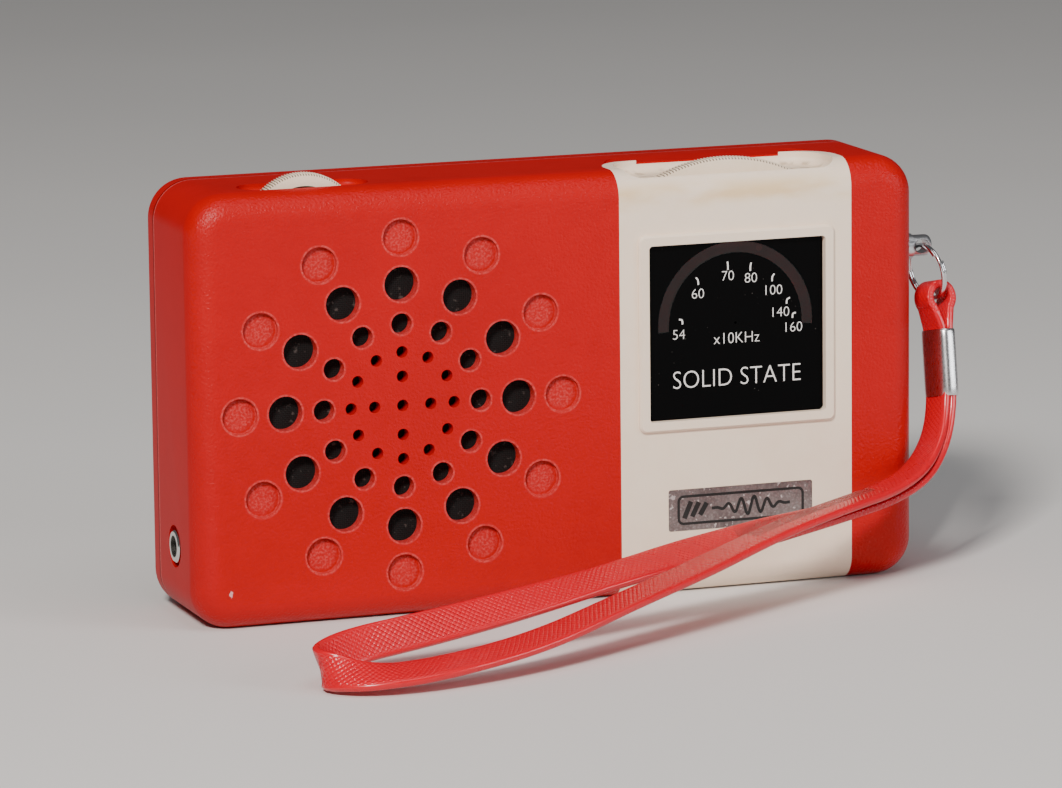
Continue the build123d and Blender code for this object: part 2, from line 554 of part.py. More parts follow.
def trimmer_screws():
    """Four trimming screws in the back of the tuning capacitor."""
    back = BOARD_BACK_Y + TUNER_DEPTH
    places = ring_places(TUNING_X, TUNING_Z, TUNER_SIZE * 0.45, 4, 45.0)
    return Compound(children=[disc(x, z, 1.15, back - 0.8, back - 0.1) for x, z in places])


def volume_control():
    """The volume potentiometer behind the board, cut flat under the case top."""
    y0 = BOARD_BACK_Y
    body = disc(VOLUME_X, VOLUME_Z, POT_RADIUS, y0, y0 + POT_DEPTH)
    top = CASE_HEIGHT - WALL - 1.7
    body -= block(VOLUME_X - 20, VOLUME_X + 20, y0 - 1, y0 + POT_DEPTH + 1, top, top + 20)
    return body - disc(VOLUME_X, VOLUME_Z, VOLUME_SHAFT_RADIUS + SHAFT_CLEARANCE, y0 - 1, y0 + 4.2)


def on_board(places, maker):
    """One node of separate solids that stand on the back of the board."""
    return Compound(children=[maker(x, z) for x, z in places])


def can_places():
    """The four screened coils stand between the speaker and the tuning capacitor."""
    left = TUNING_X - TUNER_SIZE / 2 - 25.5
    low = TUNING_Z - 5.6
    high = TUNING_Z + 5.6
    return [(left, low), (left + 11.2, low), (left, high), (left + 11.2, high)]


def screened_can(x, z):
    """A square screening can, open at its foot corners, with an adjusting hole."""
    y0 = BOARD_BACK_Y
    can = block(x - CAN_SIZE / 2, x + CAN_SIZE / 2, y0, y0 + CAN_HEIGHT, z - CAN_SIZE / 2, z + CAN_SIZE / 2)
    can = fillet(can.edges().filter_by(Axis.Y), 0.8)
    return can - disc(x, z, 2.0, y0 + CAN_HEIGHT - 1.0, y0 + CAN_HEIGHT + 1)


def can_slug(x, z):
    """The slotted ferrite slug in a can."""
    top = BOARD_BACK_Y + CAN_HEIGHT
    slug = disc(x, z, 1.95, top - 1.0, top - 0.2)
    return slug - block(x - 1.4, x + 1.4, top - 0.5, top + 1, z - 0.25, z + 0.25)


def transistor(x, z):
    """A moulded transistor with a flat side, on three short legs."""
    y0 = BOARD_BACK_Y
    body = disc(x, z, 2.3, y0 + 2.0, y0 + 6.8)
    body -= block(x - 3, x + 3, y0, y0 + 8, z - 3, z - 1.3)
    for shift in (-1.27, 0, 1.27):
        body += disc(x + shift, z, 0.25, y0, y0 + 2.1)
    return body


def electrolytic(x, z):
    """An upright electrolytic capacitor."""
    y0 = BOARD_BACK_Y
    body = disc(x, z, 2.5, y0, y0 + 8.0)
    body = fillet(body.faces().sort_by(Axis.Y)[-1].edges(), 0.6)
    return body - (disc(x, z, 2.7, y0 + 1.1, y0 + 1.5) - disc(x, z, 2.3, y0 + 1.0, y0 + 1.6))


def disc_capacitor(x, z):
    """A round ceramic capacitor on two legs."""
    y0 = BOARD_BACK_Y
    body = Pos(x, y0 + 4.2, z) * Cylinder(2.4, 1.3)
    for shift in (-1.2, 1.2):
        body += disc(x + shift, z, 0.25, y0, y0 + 3.0)
    return body


def resistor(x, z):
    """An upright resistor with one leg folded down beside it."""
    y0 = BOARD_BACK_Y
    body = disc(x, z, 1.1, y0 + 0.6, y0 + 6.4)
    body = fillet(body.edges().filter_by(GeomType.CIRCLE), 0.3)
    body += disc(x, z, 0.25, y0, y0 + 7.4)
    body += block(x - 0.2, x + 2.0, y0 + 7.1, y0 + 7.5, z - 0.2, z + 0.2)
    return body + disc(x + 1.9, z, 0.25, y0, y0 + 7.5)


def transformer_core(x, z):
    """A laminated core."""
    y0 = BOARD_BACK_Y
    core = block(x - 5.5, x + 5.5, y0, y0 + 9.0, z - 2.4, z + 2.4)
    for shift in (-2.9, 2.9):
        core -= block(x + shift - 1.3, x + shift + 1.3, y0 + 2.0, y0 + 7.0, z - 3, z + 3)
    return core


def transformer_winding(x, z):
    """The taped winding through a core's two windows."""
    y0 = BOARD_BACK_Y
    outer = block(x - 4.1, x + 4.1, y0 + 2.1, y0 + 6.9, z - 4.3, z + 4.3)
    outer = fillet(outer.edges().filter_by(Axis.Y), 0.9)
    return outer - block(x - 1.65, x + 1.65, y0 + 1, y0 + 8, z - 2.45, z + 2.45)


TRANSISTOR_PLACES = (
    (TUNING_X - 34.2, TUNING_Z - 14.2), (TUNING_X - 27.7, TUNING_Z - 14.2),
    (SPEAKER_X - 25.75, SPEAKER_Z - 7.9), (SPEAKER_X - 25.75, SPEAKER_Z + 11.1),
    (SNAP_LEFT - 43.55, 8.6), (SPEAKER_X + 6.25, SPEAKER_Z + 20.8),
)
ELECTROLYTIC_PLACES = (
    (SNAP_LEFT - 51.55, 9.0), (SNAP_LEFT - 17.05, 9.0), (SNAP_LEFT - 14.05, 24.5),
    (SPEAKER_X - 28.25, SPEAKER_Z + 18.6), (TUNING_X - 13.7, TUNING_Z + 5.8),
    (TUNING_X + 15.3, TUNING_Z - 5.2),
)
CERAMIC_PLACES = (
    (TUNING_X - 13.7, TUNING_Z - 7.2), (TUNING_X - 13.7, TUNING_Z - 1.7),
    (TUNING_X + 14.3, TUNING_Z + 2.8), (TUNING_X + 19.8, TUNING_Z + 10.8),
    (TUNING_X - 36.2, TUNING_Z + 11.4), (TUNING_X - 28.2, TUNING_Z + 11.4),
)
RESISTOR_PLACES = (
    (SPEAKER_X - 28.75, SPEAKER_Z - 1.4), (SPEAKER_X - 28.75, SPEAKER_Z + 3.6), (SNAP_LEFT - 37.05, 8.0),
    (SNAP_LEFT - 9.55, 24.0), (SNAP_LEFT - 12.05, 19.4), (TUNING_X + 20.8, TUNING_Z - 11.2),
    (TUNING_X + 20.8, TUNING_Z - 5.2), (TUNING_X + 20.8, TUNING_Z + 0.8),
    (SPEAKER_X - 19.75, SPEAKER_Z + 18.1), (TUNING_X + 15.3, TUNING_Z - 11.2),
    (SNAP_LEFT - 20.05, 14.5), (SPEAKER_X - 22.25, 20.5),
)
TRANSFORMER_PLACES = (
    (SNAP_LEFT - 27.55, 9.2), (SNAP_LEFT - 7.15, 12.5),
)


def ferrite_rod():
    """The aerial's ferrite rod across the top of the radio."""
    rod_y = BOARD_BACK_Y + ROD_STANDOFF
    rod = Pos(ROD_CENTRE_X, rod_y, ROD_Z) * Rot(0, 90, 0) * Cylinder(ROD_RADIUS, ROD_LENGTH)
    return chamfer(rod.edges().filter_by(GeomType.CIRCLE), 0.3)


def aerial_coil():
    """The aerial's winding on its paper former."""
    rod_y = BOARD_BACK_Y + ROD_STANDOFF
    place = Pos(ROD_CENTRE_X + ROD_LENGTH * 0.2, rod_y, ROD_Z) * Rot(0, 90, 0)
    outer = place * Cylinder(ROD_RADIUS + COIL_WALL, COIL_LENGTH)
    return outer - place * Cylinder(ROD_RADIUS + 0.05, COIL_LENGTH + 2)


def aerial_holders():
    """Two plastic clips that carry the rod on the board."""
    rod_y = BOARD_BACK_Y + ROD_STANDOFF
    holders = []
    for x in (ROD_CENTRE_X - ROD_LENGTH * 0.4, ROD_CENTRE_X):
        clip = block(x - 2, x + 2, BOARD_BACK_Y, rod_y + 2.0, ROD_Z - 5.4, BOARD_TOP_Z - 0.3)
        clip -= Pos(x, rod_y, ROD_Z) * Rot(0, 90, 0) * Cylinder(ROD_RADIUS + 0.05, 10)
        holders.append(clip.solids().sort_by(Axis.Y)[0])
    return Compound(children=holders)


def battery():
    """A nine-volt block battery in its steel jacket."""
    body = block(BATTERY_LEFT, BATTERY_RIGHT, BATTERY_FRONT_Y, BATTERY_BACK_Y, BATTERY_BOTTOM, BATTERY_TOP)
    return fillet(body.edges().filter_by(Axis.X), 2.2)


def terminal_places():
    """The battery's two studs, side by side."""
    y = (BATTERY_FRONT_Y + BATTERY_BACK_Y) / 2
    middle = (BATTERY_BOTTOM + BATTERY_TOP) / 2
    return [(y, middle - 6.35), (y, middle + 6.35)]


def battery_terminals():
    """Two snap studs on the end of the battery."""
    studs = []
    for y, z in terminal_places():
        stud = Pos(BATTERY_LEFT - TERMINAL_HEIGHT / 2, y, z) * Rot(0, 90, 0)
        studs.append(stud * Cylinder(2.8, TERMINAL_HEIGHT))
    return Compound(children=studs)


def battery_snap():
    """The snap connector that plugs on the battery."""
    y = (BATTERY_FRONT_Y + BATTERY_BACK_Y) / 2
    x1 = BATTERY_LEFT - TERMINAL_HEIGHT
    body = block(SNAP_LEFT, x1, y - 6.5, y + 6.5, BATTERY_BOTTOM + 1, BATTERY_TOP - 1)
    return fillet(body.edges().filter_by(Axis.X), 3.0)


def lead(points):
    """A round insulated lead along straight runs with rounded corners."""
    path = FilletPolyline(*points, radius=corner_radii(points))
    start = Plane(origin=path @ 0, z_dir=path % 0)
    return sweep(start * Circle(LEAD_DIAMETER / 2), path=path)


def corner_radii(points):
    """One radius for each corner of a route: as large as its two runs allow."""
    vectors = [Vector(*p) for p in points]
    radii = []
    for before, here, after in zip(vectors, vectors[1:], vectors[2:]):
        run_in = here - before
        run_out = after - here
        turn = math.radians(run_in.get_angle(run_out))
        radii.append(0.45 * min(run_in.length, run_out.length) / math.tan(turn / 2))
    return radii


def battery_leads():
    """Two leads from the snap connector over to the board."""
    y = (BATTERY_FRONT_Y + BATTERY_BACK_Y) / 2
    board_x = SNAP_LEFT - 4.6
    leads = []
    for z in (18.6, 21.8):
        points = [(SNAP_LEFT, y + 2, z), (SNAP_LEFT - 2.6, y + 2, z), (board_x, y, z + 2.4),
                  (board_x, BOARD_BACK_Y + 2.4, z + 2.8), (board_x, BOARD_BACK_Y, z + 2.8)]
        leads.append(lead(points))
    return Compound(children=leads)


def speaker_leads():
    """Two leads from the back of the speaker's magnet to the board."""
    back = BASKET_BACK_Y + MAGNET_THICKNESS
    x = SPEAKER_X + 7.5
    board_x = SPEAKER_X + 14.2
    leads = []
    for shift in (-2.0, 2.0):
        z = SPEAKER_Z + 4.0 + shift
        points = [(x, back, z), (x, back + 2.6, z), (x + 3.4, back + 1.8, z + 6.0),
                  (board_x, BOARD_BACK_Y + 3.2, z + 11.0), (board_x, BOARD_BACK_Y, z + 11.0)]
        leads.append(lead(points))
    return Compound(children=leads)


def jack_body():
    """The earphone jack's moulded body behind the case side."""
    inner_x = -RIGHT_X + WALL
    body = block(inner_x, -RIGHT_X + JACK_LENGTH, JACK_Y - JACK_BODY / 2, JACK_Y + JACK_BODY / 2,
                 JACK_Z - JACK_BODY / 2, JACK_Z + JACK_BODY / 2)
    bore = Pos(inner_x, JACK_Y, JACK_Z) * Rot(0, 90, 0) * Cylinder(JACK_BORE / 2 + 0.4, 2 * (JACK_LENGTH - 4))
    return body - bore


def jack_bush():
    """The earphone jack's metal bush, bored for the plug."""
    length = WALL + 0.2
    place = Pos(-RIGHT_X - 0.2 + length / 2, JACK_Y, JACK_Z) * Rot(0, 90, 0)
    bush = place * Cylinder(JACK_BUSH_RADIUS, length)
    bush = chamfer(bush.faces().sort_by(Axis.X)[0].edges(), 0.25)
    return bush - place * Cylinder(JACK_BORE / 2, length + 1)


def strap_stud():
    """The turned strap stud, riveted inside the case, with a cross hole for the split ring."""
    inner_x = RIGHT_X - WALL
    along = Pos(0, STUD_Y, STUD_Z) * Rot(0, 90, 0)
    flange = Pos(inner_x - STUD_FLANGE / 2, 0, 0) * along * Cylinder(STUD_FLANGE_RADIUS, STUD_FLANGE)
    shank_length = WALL + STUD_LENGTH
    shank = Pos(inner_x + shank_length / 2, 0, 0) * along * Cylinder(STUD_HEAD_RADIUS, shank_length)
    collar = Pos(RIGHT_X + 1.25, 0, 0) * along * Cylinder(STUD_COLLAR_RADIUS, 2.5)
    stud = flange + shank + collar
    stud = fillet(stud.faces().sort_by(Axis.X)[-1].edges(), 0.9)
    hole_x = RIGHT_X + STUD_HOLE_REACH
    stud -= disc(hole_x, STUD_Z, STUD_HOLE_RADIUS, STUD_Y - 5, STUD_Y + 5)
    mouth = STUD_HOLE_RADIUS + 0.35
    rim = STUD_HEAD_RADIUS
    stud -= cone(hole_x, STUD_Z, mouth + 0.5, STUD_HOLE_RADIUS, STUD_Y - rim - 0.5, STUD_Y - rim + 0.5)
    stud -= cone(hole_x, STUD_Z, STUD_HOLE_RADIUS, mouth + 0.5, STUD_Y + rim - 0.5, STUD_Y + rim + 0.5)
    return stud


def ring_frame():
    """The split ring's centre, the way it hangs, the way across it and its axis."""
    across = (RING_ACROSS - RING_HANG * RING_ACROSS.dot(RING_HANG)).normalized()
    centre = STUD_HOLE + RING_HANG * RING_RADIUS
    axis = across.cross(RING_HANG).normalized()
    return centre, across, axis


def split_ring():
    """The split ring: two turns of wire side by side, as one flattened ring."""
    centre, across, axis = ring_frame()
    plane = Plane(origin=centre, x_dir=RING_HANG, z_dir=across)
    section = plane * Pos(RING_RADIUS, 0) * SlotOverall(2 * RING_WIRE, RING_WIRE, 90)
    return revolve(section, axis=Axis(centre, axis), revolution_arc=360)


def ferrule_frame():
    """The ferrule's way up, its width direction and its thickness direction."""
    up = (FERRULE_TOP - FERRULE_BOTTOM).normalized()
    across = ring_frame()[1]
    wide = (across - up * across.dot(up)).normalized()
    thin = wide.cross(up).normalized()
    return up, wide, thin


def strap_ferrule():
    """The crimped steel sleeve over the strap's two layers."""
    up, wide, thin = ferrule_frame()
    plane = Plane(origin=FERRULE_BOTTOM, x_dir=wide, z_dir=up)
    length = (FERRULE_TOP - FERRULE_BOTTOM).length
    inner_width = STRAP_WIDTH + 2 * FERRULE_GAP
    inner_depth = 2 * STRAP_THICKNESS + 3 * FERRULE_GAP
    outline = plane * RectangleRounded(inner_width + 2 * FERRULE_WALL, inner_depth + 2 * FERRULE_WALL, 1.1)
    hollow = plane * RectangleRounded(inner_width, inner_depth, 0.25)
    return extrude(outline - hollow, amount=length)


def strap_eye():
    """The strap's own small loop over the split ring, gripped in the top of the ferrule."""
    up, wide, thin = ferrule_frame()
    centre = ring_frame()[0] + RING_HANG * RING_RADIUS
    grip = FERRULE_TOP - up * STRAP_GRIP
    height = (centre - grip).dot(up)
    side = (centre - grip).dot(thin)
    plane = Plane(origin=grip, x_dir=thin, z_dir=wide)
    outer_radius = EYE_INNER_RADIUS + STRAP_THICKNESS
    half = STRAP_THICKNESS + FERRULE_GAP / 2
    sign = 1 if plane.y_dir.dot(up) > 0 else -1
    rise = sign * height
    shoulder = sign * (STRAP_GRIP + 0.6)
    legs = Polyline((-half, 0), (half, 0), (half, shoulder), (side + outer_radius, rise),
                    (side - outer_radius, rise), (-half, shoulder), close=True)
    outer = make_face(legs) + Pos(side, rise) * Circle(outer_radius)
    gap = Polyline((-0.1, shoulder + 0.2 * sign), (0.1, shoulder + 0.2 * sign),
                   (side + EYE_INNER_RADIUS, rise), (side - EYE_INNER_RADIUS, rise), close=True)
    inner = make_face(gap) + Pos(side, rise) * Circle(EYE_INNER_RADIUS)
    return extrude(plane * (outer - inner), amount=EYE_WIDTH / 2, both=True)


# The strap's route: out of the ferrule, forward past the case's corner, round its far end and back.
STRAP_ROUTE = (
    (68.52, -9.74, 33.64), (68.33, -11.33, 26.63), (62.9, -17.0, 19.8), (54.5, -22.9, 17.1),
    (42.5, -29.5, 16.2), (28.5, -36.5, 14.5), (12.5, -44.6, 11.2), (-4.5, -53.0, 8.3), (-20.0, -60.2, 5.2),
    (-35.0, -65.2, 3.7), (-47.5, -66.6, 2.8), (-55.0, -63.4, 3.0), (-57.2, -58.0, 3.7), (-51.0, -52.6, 4.8),
    (-37.5, -51.0, 6.3), (-22.5, -48.0, 8.0), (-5.5, -43.6, 10.1), (12.5, -37.6, 12.3), (29.5, -31.5, 13.6),
    (44.5, -26.0, 14.6), (55.6, -21.6, 15.6), (64.1, -16.3, 18.5), (69.6, -11.08, 26.53),
    (69.79, -9.49, 33.55))
# How far the strap's width has turned up from the ferrule's at each point of the route, in degrees.
STRAP_LEANS = (0, 0, 6, 10, 12, 14, 18, 18, 22, 24, 28, 40, 60, 62, 55, 45, 32, 36, 34, 20, 10, 6, 0, 0)
STRAP_ROUTE_HOLE = Vector(67.35, -4.5, 54.8)  # the stud's hole that the route is laid from
STRAP_SAMPLES = 96


def route_shares():
    """How far along the strap each point of its route is, from 0 to 1."""
    points = [Vector(*p) for p in STRAP_ROUTE]
    reach = [0.0]
    for before, here in zip(points, points[1:]):
        reach.append(reach[-1] + (here - before).length)
    return [r / reach[-1] for r in reach]


def strap_lean(share):
    """The strap's turn at one place on its route, in degrees."""
    shares = route_shares()
    for i in range(len(shares) - 2):
        if share <= shares[i + 1]:
            break
    part = (share - shares[i]) / (shares[i + 1] - shares[i])
    return STRAP_LEANS[i] + part * (STRAP_LEANS[i + 1] - STRAP_LEANS[i])


def strap_section(path, share):
    """The strap's rectangular outline at one place on its route."""
    place = path @ share
    tangent = (path % share).normalized()
    lean = math.radians(strap_lean(share))
    wide = ferrule_frame()[1] * math.cos(lean) - Vector(0, 0, 1) * math.sin(lean)
    wide = (wide - tangent * wide.dot(tangent)).normalized()
    thin = tangent.cross(wide).normalized()
    corners = [(1, 1), (-1, 1), (-1, -1), (1, -1)]
    half_width = STRAP_WIDTH / 2
    half_thickness = STRAP_THICKNESS / 2
    return Wire.make_polygon([place + wide * (a * half_width) + thin * (b * half_thickness) for a, b in corners])


def wrist_strap():
    """The vinyl wrist strap, one long loop that is flat in section and twists once each way."""
    radii = corner_radii(STRAP_ROUTE)
    path = FilletPolyline(*STRAP_ROUTE, radius=radii)
    wires = [strap_section(path, i / STRAP_SAMPLES) for i in range(STRAP_SAMPLES + 1)]
    strap = Pos(*(STUD_HOLE - STRAP_ROUTE_HOLE)) * Solid.make_loft(wires, ruled=True)
    expected = STRAP_WIDTH * STRAP_THICKNESS * path.length
    print("strap radii", [round(r, 1) for r in radii])
    print("strap length", round(path.length, 1), "volume", round(strap.volume, 1), "of", round(expected, 1))
    return strap


def main():
    """Build every sub-part and write it."""
    band, under, tray = trim_envelope()
    save("front_shell", front_shell(band, under, tray))
    save("trim_band", trim_band(band, under, tray))
    save("dial_window", dial_window())
    save("badge", badge())
    save("back_cover", back_cover())
    save("speaker_cloth", speaker_cloth())
    save("speaker_frame", speaker_frame())
    save("speaker_cone", speaker_cone())
    save("speaker_dust_cap", speaker_dust_cap())
    save("speaker_coil", speaker_coil())
    save("speaker_magnet", speaker_magnet())
    clamps = [headed_screw(x, z, RIM_BACK_Y, 3.4, 1.2, 2.4) for x, z in clamp_places()]
    save("speaker_screws", Compound(children=clamps))
    save("tuning_wheel", d_wheel(TUNING_X, TUNING_Z, TUNING_RADIUS, TUNING_FRONT_Y, TUNING_BACK_Y,
                                 TUNING_SHAFT_RADIUS))
    save("tuning_shaft", d_shaft(TUNING_X, TUNING_Z, TUNING_SHAFT_RADIUS, TUNING_FRONT_Y, BOARD_BACK_Y + 6.0,
                                 TUNING_BACK_Y))
    save("dial_disc", dial_disc())
    save("pointer_dot", pointer_dot())
    save("tuning_screw", face_screw(TUNING_X, TUNING_Z, DISC_FRONT_Y, 2.4, 4.0))
    save("volume_wheel", d_wheel(VOLUME_X, VOLUME_Z, VOLUME_RADIUS, VOLUME_FRONT_Y, VOLUME_BACK_Y,
                                 VOLUME_SHAFT_RADIUS))
    save("volume_shaft", d_shaft(VOLUME_X, VOLUME_Z, VOLUME_SHAFT_RADIUS, VOLUME_FRONT_Y, BOARD_BACK_Y + 4.0,
                                 VOLUME_BACK_Y))
    save("volume_screw", face_screw(VOLUME_X, VOLUME_Z, VOLUME_FRONT_Y, 2.0, 3.0))
    save("circuit_board", circuit_board())
    screws = [headed_screw(x, z, BOARD_BACK_Y, 2.2, 1.3, 5.0) for x, z in board_screw_places()]
    save("board_screws", Compound(children=screws))
    save("tuning_capacitor", tuning_capacitor())
    save("trimmer_screws", trimmer_screws())
    save("volume_control", volume_control())
    save("screened_coils", on_board(can_places(), screened_can))
    save("coil_slugs", on_board(can_places(), can_slug))
    save("transistors", on_board(TRANSISTOR_PLACES, transistor))
    save("electrolytic_capacitors", on_board(ELECTROLYTIC_PLACES, electrolytic))
    save("ceramic_capacitors", on_board(CERAMIC_PLACES, disc_capacitor))
    save("resistors", on_board(RESISTOR_PLACES, resistor))
    save("transformer_cores", on_board(TRANSFORMER_PLACES, transformer_core))
    save("transformer_windings", on_board(TRANSFORMER_PLACES, transformer_winding))
    save("ferrite_rod", ferrite_rod())
    save("aerial_coil", aerial_coil())
    save("aerial_holders", aerial_holders())
    save("battery", battery())
    save("battery_terminals", battery_terminals())
    save("battery_snap", battery_snap())
    save("battery_leads", battery_leads())
    save("speaker_leads", speaker_leads())
    save("jack_body", jack_body())
    save("jack_bush", jack_bush())
    save("strap_stud", strap_stud())
    save("split_ring", split_ring())
    save("strap_eye", strap_eye())
    save("strap_ferrule", strap_ferrule())
    save("wrist_strap", wrist_strap())


main()
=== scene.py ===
"""The looks of a transistor pocket radio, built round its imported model.

Everything is in metres in the model's own frame: +X to the right seen from the front, +Y to the
back, +Z up, with the origin in the middle of the case's flat base.
"""

from __future__ import annotations

import json
import logging
import math
from collections.abc import Callable, Sequence
from dataclasses import dataclass
from enum import Enum

import bmesh
import bpy
import numpy as np
from mathutils import Matrix, Vector

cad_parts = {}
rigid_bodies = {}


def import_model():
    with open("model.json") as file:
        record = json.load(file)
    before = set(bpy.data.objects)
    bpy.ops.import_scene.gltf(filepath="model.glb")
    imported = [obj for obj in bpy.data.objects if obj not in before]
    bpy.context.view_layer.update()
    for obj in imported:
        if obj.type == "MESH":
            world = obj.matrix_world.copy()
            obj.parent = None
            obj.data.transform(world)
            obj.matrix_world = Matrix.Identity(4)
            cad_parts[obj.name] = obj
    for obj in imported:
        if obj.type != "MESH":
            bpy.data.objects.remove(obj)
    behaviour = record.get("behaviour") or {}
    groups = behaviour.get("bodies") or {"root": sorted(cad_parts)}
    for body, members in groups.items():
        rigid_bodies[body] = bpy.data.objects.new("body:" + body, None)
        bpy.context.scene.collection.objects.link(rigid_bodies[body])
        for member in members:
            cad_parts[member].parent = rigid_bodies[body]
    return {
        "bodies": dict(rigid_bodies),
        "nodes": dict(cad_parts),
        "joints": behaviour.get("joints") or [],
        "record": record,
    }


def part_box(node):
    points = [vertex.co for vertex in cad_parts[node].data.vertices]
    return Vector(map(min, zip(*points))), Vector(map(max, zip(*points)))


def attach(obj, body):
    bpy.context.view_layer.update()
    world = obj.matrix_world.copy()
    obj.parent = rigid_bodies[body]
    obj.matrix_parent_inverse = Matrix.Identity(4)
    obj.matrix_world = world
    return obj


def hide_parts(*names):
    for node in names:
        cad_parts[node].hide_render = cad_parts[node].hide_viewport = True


log = logging.getLogger("pocket_radio")

MM = 0.001
Colour = tuple[float, float, float]
Inputs = dict[str, object]


class Body(Enum):
    """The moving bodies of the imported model."""

    CASE = "case"
    TUNING = "tuning"
    VOLUME = "volume"
    REAR = "rear"
    RING = "ring"
    STRAP = "strap"


class Slot(Enum):
    """The record's material slots."""

    CREAM_WHEEL = "cream_wheel"
    DIAL_GLASS = "dial_glass"
    BADGE_FOIL = "badge_foil"
    POINTER_WHITE = "pointer_white"
    RING_WIRE = "ring_wire"
    FERRULE_METAL = "ferrule_metal"
    STRAP_VINYL = "strap_vinyl"


# ---- shader graphs ---------------------------------------------------------------------------


class Graph:
    """A node tree with short ways to add nodes and join them."""

    def __init__(self, tree: bpy.types.NodeTree) -> None:
        """Wrap a node tree.

        Args:
            tree: The material's or the group's node tree.
        """
        self.tree = tree

    def add(self, kind: str, inputs: Inputs | None = None, **settings: object) -> bpy.types.Node:
        """Add one node.

        Args:
            kind: The node's type name.
            inputs: Values or sockets by the name or index of the input.
            **settings: Attributes of the node itself, set before its inputs.

        Returns:
            The new node.
        """
        node = self.tree.nodes.new(kind)
        for name, value in settings.items():
            setattr(node, name, value)
        for name, value in (inputs or {}).items():
            self.feed(node.inputs[name], value)
        return node

    def feed(self, socket: bpy.types.NodeSocket, value: object) -> None:
        """Give a socket a value, or join another socket to it.

        Args:
            socket: The input.
            value: A number, a colour, a vector or an output socket.
        """
        if isinstance(value, bpy.types.NodeSocket):
            self.tree.links.new(value, socket)
        elif isinstance(value, tuple) and len(value) == 3 and socket.type == "RGBA":
            socket.default_value = (*value, 1.0)
        else:
            socket.default_value = value

    def math(self, operation: str, first: object, second: object = 0.0) -> bpy.types.NodeSocket:
        """Return the result of a Math node on two values."""
        node = self.add("ShaderNodeMath", {0: first, 1: second}, operation=operation)
        return node.outputs[0]

    def times(self, *values: object) -> bpy.types.NodeSocket:
        """Return the product of two or more values."""
        result = values[0]
        for value in values[1:]:
            result = self.math("MULTIPLY", result, value)
        return result

    def away(self, value: object, middle: float) -> bpy.types.NodeSocket:
        """Return how far a value is from a middle one."""
        return self.math("ABSOLUTE", self.math("SUBTRACT", value, middle))

    def hypot(self, first: object, second: object) -> bpy.types.NodeSocket:
        """Return the length of two values at right angles."""
        return self.math("SQRT", self.math("ADD", self.times(first, first), self.times(second, second)))

    def mix(self, share: object, first: object, second: object) -> bpy.types.NodeSocket:
        """Return a colour that goes from first to second by share."""
        node = self.add("ShaderNodeMix", data_type="RGBA")
        for index, value in ((0, share), (6, first), (7, second)):
            self.feed(node.inputs[index], value)
        return node.outputs[2]

    def blend(self, share: object, first: object, second: object) -> bpy.types.NodeSocket:
        """Return a number that goes from first to second by share."""
        node = self.add("ShaderNodeMix", data_type="FLOAT")
        for index, value in ((0, share), (2, first), (3, second)):
            self.feed(node.inputs[index], value)
        return node.outputs[0]

    def step(self, value: object, low: float, high: float) -> bpy.types.NodeSocket:
        """Return a smooth step of a value: 0 at low and 1 at high."""
        node = self.add(
            "ShaderNodeMapRange",
            {"Value": value, "From Min": low, "From Max": high},
            interpolation_type="SMOOTHSTEP",
        )
        return node.outputs["Result"]

    def noise(self, place: object, scale: object, detail: float = 3.0) -> bpy.types.NodeSocket:
        """Return the value of a noise texture."""
        node = self.add("ShaderNodeTexNoise", {"Vector": place, "Scale": scale, "Detail": detail})
        return node.outputs[0]

    def cells(self, place: object, scale: object, feature: str = "F1") -> bpy.types.Node:
        """Return a Voronoi node."""
        return self.add("ShaderNodeTexVoronoi", {"Vector": place, "Scale": scale}, feature=feature)

    def place(self) -> bpy.types.NodeSocket:
        """Return the Object coordinates, which are the model's own metres."""
        return self.add("ShaderNodeTexCoord").outputs["Object"]

    def axes(self, place: object) -> tuple[bpy.types.NodeSocket, ...]:
        """Return a vector's X, Y and Z."""
        return tuple(self.add("ShaderNodeSeparateXYZ", {0: place}).outputs)

    def stretch(self, place: object, scale: tuple[float, float, float]) -> bpy.types.NodeSocket:
        """Return a vector scaled by its own factor along each axis."""
        return self.add("ShaderNodeMapping", {"Vector": place, "Scale": scale}).outputs[0]

    def bump(self, height: object, depth: float) -> bpy.types.NodeSocket:
        """Return a normal bent by a height, with its full depth in metres."""
        return self.add("ShaderNodeBump", {"Height": height, "Distance": depth, "Strength": 1.0}).outputs[0]

    def use(self, group: bpy.types.NodeTree, inputs: Inputs) -> bpy.types.Node:
        """Place a shared group with its own values."""
        return self.add("ShaderNodeGroup", inputs, node_tree=group)

    def worn(self, place: object, scale: float, colour: Colour, tint: Colour,
             amount: float) -> tuple[bpy.types.NodeSocket, bpy.types.NodeSocket]:
        """Return a colour with handling wear on it, and the wear's mask."""
        node = self.use(wear_group(), {"Place": place, "Scale": scale, "Colour": colour, "Tint": tint,
                                       "Amount": amount})
        return node.outputs["Colour"], node.outputs["Mask"]

    def grain(self, place: object, scale: float) -> tuple[bpy.types.NodeSocket, bpy.types.NodeSocket]:
        """Return the height of a pebble grain, and its finer noise."""
        node = self.use(pebble_group(), {"Place": place, "Scale": scale})
        return node.outputs["Height"], node.outputs["Fine"]


